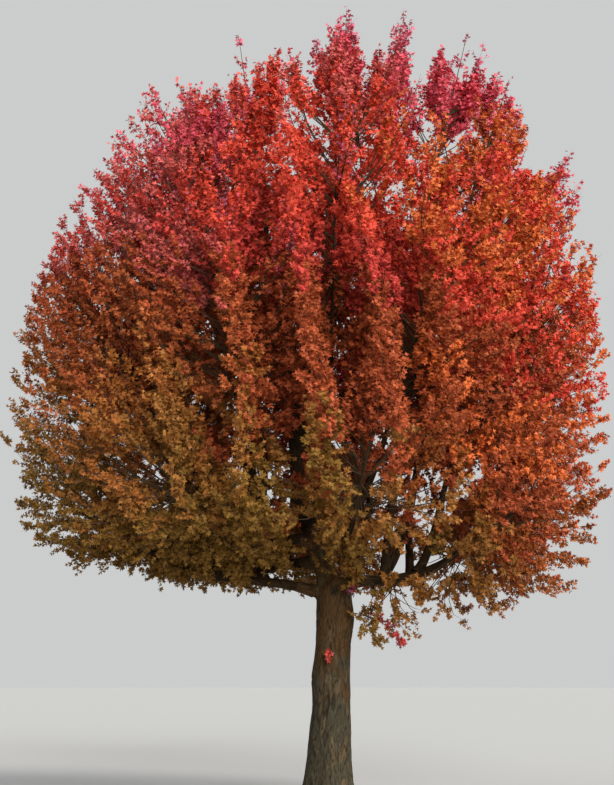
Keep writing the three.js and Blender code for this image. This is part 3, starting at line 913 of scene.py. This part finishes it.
def build_trunk():
    """One closed skin over the trunk, its head and the first stretch of everything that leaves it."""
    surfaces = [trunk_surface()] + [stub_surface(name, length) for name, length in STUBS.items()]
    tubes = [closed_tube(surface) for surface in surfaces]
    points, quads = joined([(points, quads) for points, quads, _ in tubes])
    _, caps = joined([(points, caps) for points, _, caps in tubes])
    rough = make_object("trunk_rough", points, np.concatenate([triangles_of(quads), caps]), [])
    remesh = rough.modifiers.new("remesh", "REMESH")
    remesh.mode = "VOXEL"
    remesh.voxel_size = HEAD_VOXEL
    even = rough.modifiers.new("even", "SMOOTH")
    even.factor = 0.5
    even.iterations = HEAD_SMOOTHING
    depsgraph = bpy.context.evaluated_depsgraph_get()
    mesh = bpy.data.meshes.new_from_object(rough.evaluated_get(depsgraph))
    bpy.data.objects.remove(rough)
    mesh.name = "bark_trunk"
    mesh.materials.append(trunk_bark)
    piece = add_object("bark_trunk", mesh)

    vertices = read_vectors(mesh, "co")
    place, radius = nearest_frame(vertices)
    furrow_shade, peeled, height = bark_pattern(place, 1.0)
    fade = smooth(0, RELIEF_FOOT, vertices[:, 2])
    depth = RELIEF * np.clip(radius / TRUNK_RADIUS, LEAST_RELIEF, 1) * height * fade
    vertices += read_vectors(mesh, "normal") * depth[:, None]
    vertices[:, 2] = np.where(vertices[:, 2] < CUT_ROOM, 0.0, vertices[:, 2])
    mesh.vertices.foreach_set("co", vertices.astype(np.float32).ravel())
    mesh.polygons.foreach_set("use_smooth", np.full(len(mesh.polygons), True))
    mesh.update()
    set_attribute(piece, "furrow_shade", furrow_shade)
    set_attribute(piece, "peeled", peeled)
    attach(piece, "root")
    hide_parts("trunk")


def build_limbs():
    """The limbs and boughs as tubes with bark in relief, which the trunk's skin covers where they start."""
    parts, furrows, peels = [], [], []
    for order, (name, limb) in enumerate(limbs.items()):
        curve = limb["curve"]
        sides = LIMB_SIDES.get(name.split("_")[0], BOUGH_SIDES)
        rings = max(12, int(curve.length / RING_ROOM))
        shares = np.linspace(0, 1, rings)
        along = shares * curve.length
        radii = limb_radius(limb, shares)
        if name in STUBS:
            radii = radii * (1 - LIMB_SHRINK * (1 - smooth(*LIMB_SHRINK_SHARES, along / STUBS[name])))
        else:
            radii = radii * collar(along, **BOUGH_COLLAR)
        vertices, out = tube(curve.at(shares), radii, sides)
        angle = np.linspace(0, 2 * np.pi, sides, endpoint=False)
        place = polar(radii[:, None], angle, along[:, None] + PATTERN_SHIFT * order)
        furrow_shade, peeled, height = bark_pattern(place.reshape(-1, 3), LIMB_PATTERN)
        vertices = vertices + out * (LIMB_RELIEF * radii[:, None] * height.reshape(rings, sides))[..., None]
        parts.append((vertices.reshape(-1, 3), tube_faces(rings, sides)))
        furrows.append(furrow_shade)
        peels.append(peeled * LIMB_PEELING)
    piece = make_object("bark_limbs", *joined(parts), [limb_bark], shade_smooth=True)
    set_attribute(piece, "furrow_shade", np.concatenate(furrows))
    set_attribute(piece, "peeled", np.concatenate(peels))
    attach(piece, "root")
    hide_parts(*limbs)


build_trunk()
build_limbs()

generator = np.random.default_rng(SEED)


def varied(chance, shape):
    """Random numbers from the least on, by as much more as the chance allows."""
    least, more = chance
    return least + more * generator.random(shape)


# Shoots
def spread(index, step):
    return (0.5 + index * step) % 1


def along_until(way, full):
    """The points out from the heart of the crown where its fullness is reached."""
    near = np.zeros(len(way))
    far = np.full(len(way), CROWN_TOP)
    for _ in range(24):
        between = (near + far) / 2
        inside = fullness(HEART + way * between[:, None]) < full
        near = np.where(inside, between, near)
        far = np.where(inside, far, between)
    return HEART + way * near[:, None]


def weakness(p):
    """From 0 where shoots thrive together to 1 where they fail together."""
    return 1 - smooth(*CLUMP_EDGES, drift(p, CLUMPS, CLUMPS_FROM))


def spire_share(p):
    """From 0 where shoots grow freely to 1 where spires draw them together."""
    return smooth(*SPIRE_HEIGHTS, p[:, 2] + SPIRE_TILT * p[:, 0])


def spread_ways(index):
    """Directions spread evenly all round."""
    level = 2 * spread(index, STEPS["level"]) - 1
    turn = 2 * np.pi * spread(index, STEPS["turn"])
    return polar(np.sqrt(1 - level * level), turn, level)


def seen(p):
    """Where a point shows in the upright plane through the trunk, from the camera's place."""
    near = CAMERA_PLACE[1] / (CAMERA_PLACE[1] - p[..., 1])
    return [CAMERA_PLACE[i] + (p[..., i] - CAMERA_PLACE[i]) * near for i in (0, 2)]


def within_outline(p, share):
    """Points drawn back towards the focus until they show within that share of the crown's outline."""
    line_x, line_z = (np.array(OUTLINE) - FOCUS[[0, 2]]).T
    x, z = seen(p) - FOCUS[[0, 2], None]
    reach = np.interp(np.arctan2(z, x), np.arctan2(line_z, line_x), np.hypot(line_x, line_z))
    held = np.minimum(1, (reach * share - TIP_LEAVES) / np.hypot(x, z))
    return FOCUS + (p - FOCUS) * held[:, None]


def outline_peaks():
    """The outline's peaks, before and behind the trunk by turns, where they show in their own places."""
    line = np.array(OUTLINE)
    reach = np.hypot(*(line - FOCUS[[0, 2]]).T)
    peaks = line[1:-1][(reach[1:-1] > reach[:-2]) & (reach[1:-1] > reach[2:])]
    depth = PEAK_DEPTH * (-1.0) ** np.arange(len(peaks))
    eye = np.array(CAMERA_PLACE)
    return eye + (np.insert(peaks, 1, 0, axis=1) - eye) * (1 - depth / eye[1])[:, None]


def within_box(p):
    """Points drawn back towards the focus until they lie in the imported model's box or just outside it."""
    room = np.where(p > FOCUS, np.array(cad_high) + TIP_ROOM - FOCUS, FOCUS - np.array(cad_low) + TIP_ROOM)
    held = np.minimum(1, (room / np.maximum(np.abs(p - FOCUS), 1e-6)).min(axis=1))
    return FOCUS + (p - FOCUS) * held[:, None]


def shoot_targets(index):
    """The shoots' tips, and how weak the spire is that each belongs to."""
    way = spread_ways(index)
    gather = GATHER[0] + (GATHER[1] - GATHER[0]) * smooth(*GATHER_LEVELS, way[:, 2])
    full = 1 - (1 - SHELL) * spread(index, STEPS["depth"]) ** gather
    p = along_until(way, full)
    upper = spire_share(p)

    heads = along_until(spread_ways(FIRST_SPIRE + np.arange(SPIRES)), np.ones(SPIRES))
    heads = np.concatenate([heads, outline_peaks()])
    nearness = growth(p) @ growth(heads).T
    nearness[:, SPIRES:] += PEAK_DRAW
    spire = nearness.argmax(axis=1)
    tall = spire >= SPIRES
    weak = np.where(tall, 0, weakness(heads)[spire])
    peak = 1 - smooth(0, SPIRE_WIDTH, np.linalg.norm(growth(p) - growth(heads)[spire], axis=1))
    drawn = growth(p) + (growth(heads)[spire] - growth(p)) * (SPIRE_PULL * upper)[:, None]
    p = FOCUS + unit(drawn) * np.linalg.norm(p - FOCUS, axis=1)[:, None]

    chance = spread(index, STEPS["reach"])
    sides = LEFT_SPIRES + (1 - LEFT_SPIRES) * smooth(*LEFT_TO_RIGHT, p[:, 0])
    base, by_chance, by_peak = RISE_PARTS
    rise = np.where(tall, TALL_SPIRE, SPIRE * sides)
    rise = rise * (base + by_chance * chance + by_peak * peak)
    spires = rise * (1 - weak) - VALLEY * weak
    further = smooth(RISING_FROM, 1, full) * (spires * upper + FLANK_REACH * chance * (1 - upper))
    p = p + growth(p) * further[:, None]
    p = within_outline(p, 1 - upper * OUTLINE_EASE * (1 - peak))
    return within_box(p), weak


mass_names = list(stems)
stem_points = np.array([stem.at(np.linspace(0, 1, START_POINTS)) for stem in stems.values()])

# What shoots may grow from: curves, the shares of each where they may start, and how far it lags.
carriers = list(stems.values()) + [limb["curve"] for limb in limbs.values()]
carrier_rules = [(*STEM_STARTS, 0.0)] * len(stems) + [(*LIMB_STARTS, WOOD_LAG)] * len(limbs)
carrier_lows, carrier_highs, carrier_lags = np.array(carrier_rules).T
carrier_points = np.array([curve.at(np.linspace(0, 1, START_POINTS)) for curve in carriers])
carrier_lengths = np.array([curve.length for curve in carriers])


def nearest_of(points, lines, lag=0.0):
    """The line, the point on it and the distance for the nearest point of many lines."""
    distance = np.linalg.norm(points[:, None, None] - lines[None], axis=3)
    lagged = (distance + np.reshape(lag, (1, -1, 1))).reshape(len(points), -1)
    nearest = lagged.argmin(axis=1)
    least = distance.reshape(len(points), -1)[np.arange(len(points)), nearest]
    return nearest // lines.shape[1], nearest % lines.shape[1], least


def opening(p):
    """The share of the twigs at a place that are lost to the thin places in the foliage."""
    x, z = seen(p)
    whole = np.ones(len(p))
    for place in OPENINGS:
        across, up = place["size"]
        away = ((x - place["at"][0]) / across) ** 2 + ((z - place["at"][1]) / up) ** 2
        lost = place["lost"] * np.exp(-away)
        if place.get("front_only"):
            lost = np.where(p[:, 1] < 0, lost, 0)
        whole = whole * (1 - lost)
    return 1 - whole


def airiness(p):
    return smooth(*AIRY_HEIGHTS, p[..., 2] + AIRY_TILT * p[..., 0]) * smooth(*AIRY_SKIN, fullness(p))


def square_frame(way):
    """Two directions square to each way, the first as level as can be."""
    level = np.cross(way, [0.0, 0.0, 1.0])
    upright = np.linalg.norm(level, axis=-1) < 0.05
    level[upright] = [1.0, 0.0, 0.0]
    level = unit(level - way * (level * way).sum(-1, keepdims=True))
    return level, np.cross(level, way)


def quadratic(a, b, c, t):
    """Points on many quadratic curves; a, b and c end in 3 and t in no axis of its own."""
    t = t[..., None]
    return a * (1 - t) ** 2 + 2 * b * t * (1 - t) + c * t**2


def quadratic_way(a, b, c, t):
    t = t[..., None]
    return unit(2 * (b - a) * (1 - t) + 2 * (c - b) * t)


def shoot_stray(index, p):
    """How far the end of each shoot strays to the side of its direction of growth, below the spires."""
    turn = 2 * np.pi * spread(index, STEPS["stray"])
    return around(*square_frame(growth(p)), turn) * (STRAY * (1 - spire_share(p)))[:, None]


def grow_shoots():
    """The shoots' control points, owners and weakness."""
    index = np.arange(SHOOTS * 2)
    tips, weak = shoot_targets(index)
    carrier, knot, least = nearest_of(tips, carrier_points, carrier_lags)
    back = SHOOT_LEAN * least / carrier_lengths[carrier]
    lowest = carrier_lows[carrier] + START_SPREAD * generator.random(len(tips))
    share = np.clip(knot / (START_POINTS - 1) - back, lowest, carrier_highs[carrier])
    starts = np.array([carriers[c].at(s)[0] for c, s in zip(carrier, share)])
    owner = nearest_of(tips, stem_points)[0]
    length = np.linalg.norm(tips - starts, axis=1)
    bends = tips - unit(growth(tips) + shoot_stray(index, tips)) * SHOOT_BEND * length[:, None]
    fits = (length < LONGEST_SHOOT) & (length > SHORTEST_SHOOT)
    leafy_middle = quadratic(starts, bends, tips, np.full(len(tips), LEAFY_MIDDLE))
    lost = 1 - (1 - OPENING_SHOOTS * opening(leafy_middle)) * (1 - AIRY_LOST * airiness(tips) * weak)
    kept = np.flatnonzero(fits)[:SHOOTS]
    kept = kept[generator.random(len(kept)) > lost[kept]]
    return starts[kept], bends[kept], tips[kept], owner[kept], weak[kept]


def three_sided(points, radii):
    """Three-sided twigs that end in a point. points is twigs x rings x 3, radii is twigs x rings."""
    twigs, rings, _ = points.shape
    side, other = square_frame(unit(points[:, -1] - points[:, 0]))
    angle = np.arange(3) * 2 * np.pi / 3
    ring = around(side[:, None], other[:, None], angle[None])
    body = points[:, :-1, None] + ring[:, None] * radii[:, :-1, None, None]
    vertices = np.concatenate([body.reshape(twigs, -1, 3), points[:, -1:]], axis=1)
    per = 3 * (rings - 1) + 1
    faces = []
    for r in range(rings - 2):
        for s in range(3):
            a, b = 3 * r + s, 3 * r + (s + 1) % 3
            faces += [[a, b, b + 3], [a, b + 3, a + 3]]
    for s in range(3):
        faces.append([3 * (rings - 2) + s, 3 * (rings - 2) + (s + 1) % 3, per - 1])
    faces = np.array(faces)[None] + (np.arange(twigs) * per)[:, None, None]
    return vertices.reshape(-1, 3), faces.reshape(-1, 3)


def sprout_values(key):
    return np.array([sprout[key] for sprout in SPROUTS.values()])


def grow_sprouts():
    """The sprouts' control points, as those of shoots."""
    points = []
    for sprout in SPROUTS.values():
        azimuth, length = radians(sprout["towards"]), sprout["length"]
        start = trunk_middle(sprout["height"])
        surface = start + direction(azimuth, 0) * trunk_radius(sprout["height"], azimuth)
        bend = surface + direction(azimuth, 0.15) * length * 0.5
        points.append([start, bend, surface + direction(azimuth, sprout["rise"]) * length])
    return np.array(points).transpose(1, 0, 2)


def stem_ends():
    """The outer half of each stem, which carries twigs as a shoot does, as a shoot's control points."""
    points = []
    for stem in stems.values():
        start, middle, tip = stem.at([0.5, 0.75, 1.0])
        points.append([start, 2 * middle - (start + tip) / 2, tip])
    return np.array(points).transpose(1, 0, 2)


starts, bends, tips, owners, weak_shoots = grow_shoots()
shoot_count = len(starts) + len(mass_names)
starts, bends, tips = (
    np.concatenate(parts) for parts in zip((starts, bends, tips), stem_ends(), grow_sprouts())
)
owner_names = mass_names + list(SPROUTS)
owners = np.concatenate([owners, np.arange(len(owner_names))])
lengths = np.linalg.norm(tips - starts, axis=1)
twig_scale = np.concatenate([np.ones(shoot_count), sprout_values("twigs")])
weak_shoots = np.concatenate([weak_shoots, np.zeros(len(mass_names))])
bare = generator.random(shoot_count) < AIRY_BARE * airiness(tips[:shoot_count]) * weak_shoots
leaf_keep = np.concatenate([np.where(bare, BARE_KEEP, 1), sprout_values("keep")])
leaf_size = np.concatenate([np.where(bare, BARE_LEAF, 1), np.ones(len(SPROUTS))])

# Twigs are kept in parts until all are joined, each face with 0 for old wood or 1 for young.
twig_parts = []
twig_ages = []


def keep_twigs(vertices, faces, age):
    twig_parts.append((vertices, faces))
    twig_ages.append(np.full(len(faces), age))


# Stems go on from the boughs' tips.
for stem in stems.values():
    shares = np.linspace(0, 1, STEM_RINGS)
    radii = STEM_RADII[0] + (STEM_RADII[1] - STEM_RADII[0]) * shares**STEM_TAPER
    vertices, _ = tube(stem.at(shares), radii, STEM_SIDES)
    keep_twigs(vertices.reshape(-1, 3), triangles_of(tube_faces(STEM_RINGS, STEM_SIDES)), 0)

shoot_shares = np.linspace(0, 1, SHOOT_RINGS)
every_share = np.tile(shoot_shares, (len(starts), 1))
shoot_points = quadratic(starts[:, None], bends[:, None], tips[:, None], every_share)
shoot_feet = SHOOT_FOOT[0] + SHOOT_FOOT[1] * lengths[:, None]
shoot_radii = shoot_feet + (SHOOT_TIP - shoot_feet) * shoot_shares
keep_twigs(*three_sided(shoot_points, shoot_radii), 0)


def grow_twigs():
    """Twigs in opposite pairs along the leafy end of each shoot, and one that goes on from its tip."""
    count = len(starts)
    leafy = np.minimum(LEAFY_LENGTH, LEAFY_SHARE * lengths) / lengths
    leafy[shoot_count:] = sprout_values("length") * sprout_values("leafy") / lengths[shoot_count:]
    pair = np.arange(TWIG_NODES)
    first, more = TWIG_PLACE
    along = (pair[None] + first + more * generator.random((count, TWIG_NODES))) / TWIG_NODES
    share = 1 - leafy[:, None] * (1 - along)
    share, along = [np.repeat(values[:, :, None], 2, axis=2) for values in (share, along)]
    shoot = starts[:, None, None], bends[:, None, None], tips[:, None, None]
    root = quadratic(*shoot, share)
    way = quadratic_way(*shoot, share)
    turn = 2 * np.pi * generator.random((count, 1, 1)) + pair[None, :, None] * np.pi / 2
    turn = turn + np.array([0, np.pi])[None, None]
    turn = turn + TWIG_TURN_CHANCE * (generator.random(share.shape) - 0.5)
    angle = radians(1) * (TWIG_ANGLES[0] + (TWIG_ANGLES[1] - TWIG_ANGLES[0]) * along)
    angle = angle * varied(TWIG_ANGLE_CHANCE, share.shape)
    heading = around(way, around(*square_frame(way), turn), angle)
    length = TWIG_LENGTHS[0] + (TWIG_LENGTHS[1] - TWIG_LENGTHS[0]) * along
    length = length * varied(TWIG_LENGTH_CHANCE, share.shape) * twig_scale[:, None, None]
    end = root + (heading * TWIG_HEADING[0] + way * TWIG_HEADING[1]) * length[..., None]
    owner = np.broadcast_to(np.arange(count)[:, None, None], share.shape)

    tip_way = quadratic_way(starts, bends, tips, np.ones(count))
    tip_root = quadratic(starts, bends, tips, np.full(count, TIP_TWIG_START))
    tip_end = tips + tip_way * (TWIG_LENGTHS[1] * TIP_TWIG_LENGTH * twig_scale)[:, None]
    return {
        "root": np.concatenate([root.reshape(-1, 3), tip_root]),
        "end": np.concatenate([end.reshape(-1, 3), tip_end]),
        "shoot": np.concatenate([owner.reshape(-1), np.arange(count)]),
        "along": np.concatenate([along.reshape(-1), np.ones(count)]),
    }


twigs = grow_twigs()
twig_middle = (twigs["root"] + twigs["end"]) / 2
left_on = (generator.random(len(twig_middle)) > opening(twig_middle)) | (twigs["shoot"] >= shoot_count)
twigs = {key: values[left_on] for key, values in twigs.items()}
twig_middle = twig_middle[left_on]
twig_count = len(twigs["root"])
on_sprout = twigs["shoot"] >= shoot_count
twig_points = np.stack([twigs["root"], twigs["end"]], axis=1)
keep_twigs(*three_sided(twig_points, np.full((twig_count, 2), TWIG_FOOT)), 1)


def grow_leaves():
    """Leaves in opposite pairs along each twig and one at its end: roots, ways, normals and lengths."""
    node = np.arange(LEAF_NODES)
    jitter = generator.random((twig_count, LEAF_NODES)) - 0.5
    share = (node[None] + LEAF_PLACE + LEAF_PLACE_CHANCE * jitter) / LEAF_NODES
    share = np.repeat(share[:, :, None], 2, axis=2)
    hand = np.broadcast_to(np.array([0, np.pi])[None, None], share.shape)
    turn = 2 * np.pi * generator.random((twig_count, 1, 1)) + node[None, :, None] * np.pi / 2 + hand

    def with_end(pairs, end):
        """The values of a twig's leaves in pairs, and after them that of the leaf at its end."""
        return np.concatenate([pairs.reshape(twig_count, -1), np.full((twig_count, 1), end)], axis=1)

    lean = with_end(np.full(share.shape, PAIR_LEAN), END_LEAN)
    share = with_end(share, 1.0)
    turn = with_end(turn, 0.0)
    turn = turn + LEAF_TURN_CHANCE * (generator.random(turn.shape) - 0.5)
    span = (twigs["end"] - twigs["root"])[:, None]
    root = twigs["root"][:, None] + span * share[..., None]
    way = np.broadcast_to(unit(span), root.shape)
    out = around(*square_frame(way), turn)
    forward = LEAF_FORWARD[0] - LEAF_FORWARD[1] * lean
    along = unit(way * forward[..., None] + out * lean[..., None] + [0, 0, -LEAF_SAG])
    scatter = generator.normal(size=root.shape)
    normal = growth(root) * LEAF_FACING["out"] + np.array([0, 0, LEAF_FACING["up"]])
    normal = normal + out * LEAF_FACING["aside"] + LEAF_FACING["chance"] * scatter
    normal = unit(normal - along * (normal * along).sum(-1, keepdims=True))
    shoot = np.broadcast_to(twigs["shoot"][:, None], share.shape)
    length = LEAF_LENGTH * varied(LEAF_LENGTH_CHANCE, share.shape)
    length = length * (LEAF_SHRINK[0] - LEAF_SHRINK[1] * share)
    length = length * (1 + INNER_GAIN * (1 - smooth(*INNER_EDGES, fullness(root)))) * leaf_size[shoot]
    twig = np.broadcast_to(np.arange(twig_count)[:, None], share.shape)
    return [values.reshape(-1, *values.shape[2:]) for values in (root, along, normal, length, shoot, twig)]


def leaf_mesh(root, along, normal, length):
    """Two triangles to a three-lobed leaf: one spans its foot and side lobes, one is its middle lobe."""
    side = np.cross(normal, along)

    def at(x, y, down):
        return root + length[:, None] * (along * x + side * y - normal * down)

    lobe_x, lobe_y, lobe_down = LEAF_LOBE
    tongue_x, tongue_y, tongue_down = LEAF_TONGUE
    points = np.stack(
        [
            at(0, 0, 0),
            at(lobe_x, -lobe_y, lobe_down),
            at(lobe_x, lobe_y, lobe_down),
            at(tongue_x, -tongue_y, tongue_down),
            at(1, 0, LEAF_DROOP),
            at(tongue_x, tongue_y, tongue_down),
        ],
        axis=1,
    )
    return points.reshape(-1, 3), np.arange(6 * len(root)).reshape(-1, 3)


leaves = grow_leaves()
twig_length = np.linalg.norm(twigs["end"] - twigs["root"], axis=1)
thinned = TIP_THINNING * airiness(twig_middle) * smooth(0.3, 1, twigs["along"])
crowding = np.where(on_sprout, 1, np.clip(twig_length / LEAFY_TWIG, LEAST_LEAVES, 1))
twig_keep = leaf_keep[twigs["shoot"]] * (1 - thinned) * crowding
kept_leaves = generator.random(len(leaves[0])) < twig_keep[leaves[5]]
root, along, normal, length, leaf_shoot, leaf_twig = (values[kept_leaves] for values in leaves)


# Tints
def ripeness(p, chance):
    """0 for the greenest sprays, at the lower left, to 1 for the reddest, at the top."""
    rise = (p[..., 2] - RIPE_FROM + RIPE_TILT * p[..., 0]) / RIPE_SPAN
    rim = (smooth(*RIM_EDGES, fullness(p)) - 0.5) * smooth(*RIM_HEIGHTS, p[..., 2])
    # The skin high up is made riper, partly as painted glow of leaves that the sky lights through.
    return np.clip(rise + RIPE_CHANCE * (chance - CHANCE_MIDDLE) + RIM_RIPENESS_AND_GLOW * rim, 0, 0.999)


def patchy(offset):
    """A chance from 0 to 1 for each twig, much like that of the twigs beside it."""
    near = np.clip(0.5 + PATCH_CONTRAST * drift(tips, PATCHES, offset), 0, 1)
    by_shoot = PATCH_SHARE * near + (1 - PATCH_SHARE) * generator.random(len(tips))
    return by_shoot[twigs["shoot"]] * SPRAY_CHANCE[0] + twig_chance * SPRAY_CHANCE[1]


tint_names = list(TINTS)
twig_chance = generator.random(twig_count)
side_chance = patchy(SIDE_PATCHES_FROM)
ripe = ripeness(twig_middle, patchy(RIPE_PATCHES_FROM))
rung = (ripe * len(LADDERS[0])).astype(int)
ladders = np.array([[tint_names.index(name) for name in ladder] for ladder in LADDERS])
place = sum((side_chance < smooth(*edge, twig_middle[:, 0])).astype(int) for edge in LADDER_EDGES)
twig_tint = ladders[place, rung]
on_bare = np.concatenate([bare, np.zeros(len(SPROUTS), bool)])[twigs["shoot"]]
for chosen, names in ((on_bare, BARE_TINTS), (on_sprout, SPROUT_TINTS)):
    dealt = np.array([tint_names.index(name) for name in names])
    twig_tint[chosen] = dealt[(twig_chance[chosen] * len(names)).astype(int)]

# Leaves are joined by the family that their mass belongs to.
slots = {entry["node"]: entry["material_slot"] for entry in frame["record"]["subparts"]}
leaf_owner = owners[leaf_shoot]
leaf_tint = twig_tint[leaf_twig]

for slot in ["olive", "rust", "orange", "scarlet", "crimson"]:
    members = [i for i, name in enumerate(owner_names) if slots[name] == slot]
    groups, held = [[]], 0
    for member in members:
        count = LEAF_TRIANGLES * int((leaf_owner == member).sum())
        if held + count > MOST_TRIANGLES and groups[-1]:
            groups.append([])
            held = 0
        groups[-1].append(member)
        held += count
    for number, group in enumerate(groups):
        chosen = np.isin(leaf_owner, group)
        vertices, faces = leaf_mesh(root[chosen], along[chosen], normal[chosen], length[chosen])
        tints, face_tint = np.unique(leaf_tint[chosen], return_inverse=True)
        materials = [leaf_materials[tint] for tint in tints]
        face_tint = np.repeat(face_tint, LEAF_TRIANGLES)
        piece = make_object(f"{slot}_leaves_{number + 1}", vertices, faces, materials, face_tint)
        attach(piece, "root")
        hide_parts(*[owner_names[i] for i in group])

twig_materials = [plain_material(name, linear(value), rough) for name, (value, rough) in TWIG_LOOKS.items()]
piece = make_object("twigs", *joined(twig_parts), twig_materials, np.concatenate(twig_ages))
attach(piece, "root")
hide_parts(*owner_names)


# Floor, light and sky
def build_floor():
    turn = np.linspace(0, 2 * np.pi, FLOOR_SIDES, endpoint=False)
    rings = polar(np.array(FLOOR_RADII)[:, None], turn, FLOOR_HEIGHT).reshape(-1, 3)
    points = np.concatenate([rings, [[0.0, 0.0, FLOOR_HEIGHT]]])
    quads = tube_faces(len(FLOOR_RADII), FLOOR_SIDES)[:, ::-1]
    side = np.arange(FLOOR_SIDES)
    fan = np.stack([side, (side + 1) % FLOOR_SIDES, np.full(FLOOR_SIDES, len(points) - 1)], axis=1)[:, ::-1]
    material, tree, shader = node_material("floor")
    grain = add_node(tree, "TexNoise", Scale=0.6)
    tone = add_node(tree, "Mix")
    tone.data_type = "RGBA"
    tone.inputs["A"].default_value = (*FLOOR_COLOUR, 1)
    tone.inputs["B"].default_value = (*[c * FLOOR_SHADE for c in FLOOR_COLOUR], 1)
    tree.links.new(grain.outputs["Fac"], tone.inputs["Factor"])
    tree.links.new(tone.outputs["Result"], shader.inputs["Base Color"])
    shader.inputs["Roughness"].default_value = 0.9
    floor = make_object("floor", points, np.concatenate([triangles_of(quads), fan]), [material])


build_floor()

world = bpy.data.worlds.new("world")
bpy.context.scene.world = world
world.use_nodes = True
world.node_tree.nodes["Background"].inputs["Color"].default_value = (*SKY, 1)
world.node_tree.nodes["Background"].inputs["Strength"].default_value = SKY_STRENGTH


def add_sun(name, strength, angle, towards, height, colour):
    data = bpy.data.lights.new(name, "SUN")
    data.energy = strength
    data.angle = radians(angle)
    data.color = colour
    add_object(name, data).rotation_euler = (radians(90 - height), 0, radians(90 + towards))


add_sun("sun", **SUN)
add_sun("fill", **FILL)

view = bpy.context.scene.view_settings
view.view_transform = "Standard"
view.look = "None"
view.exposure = 0.0
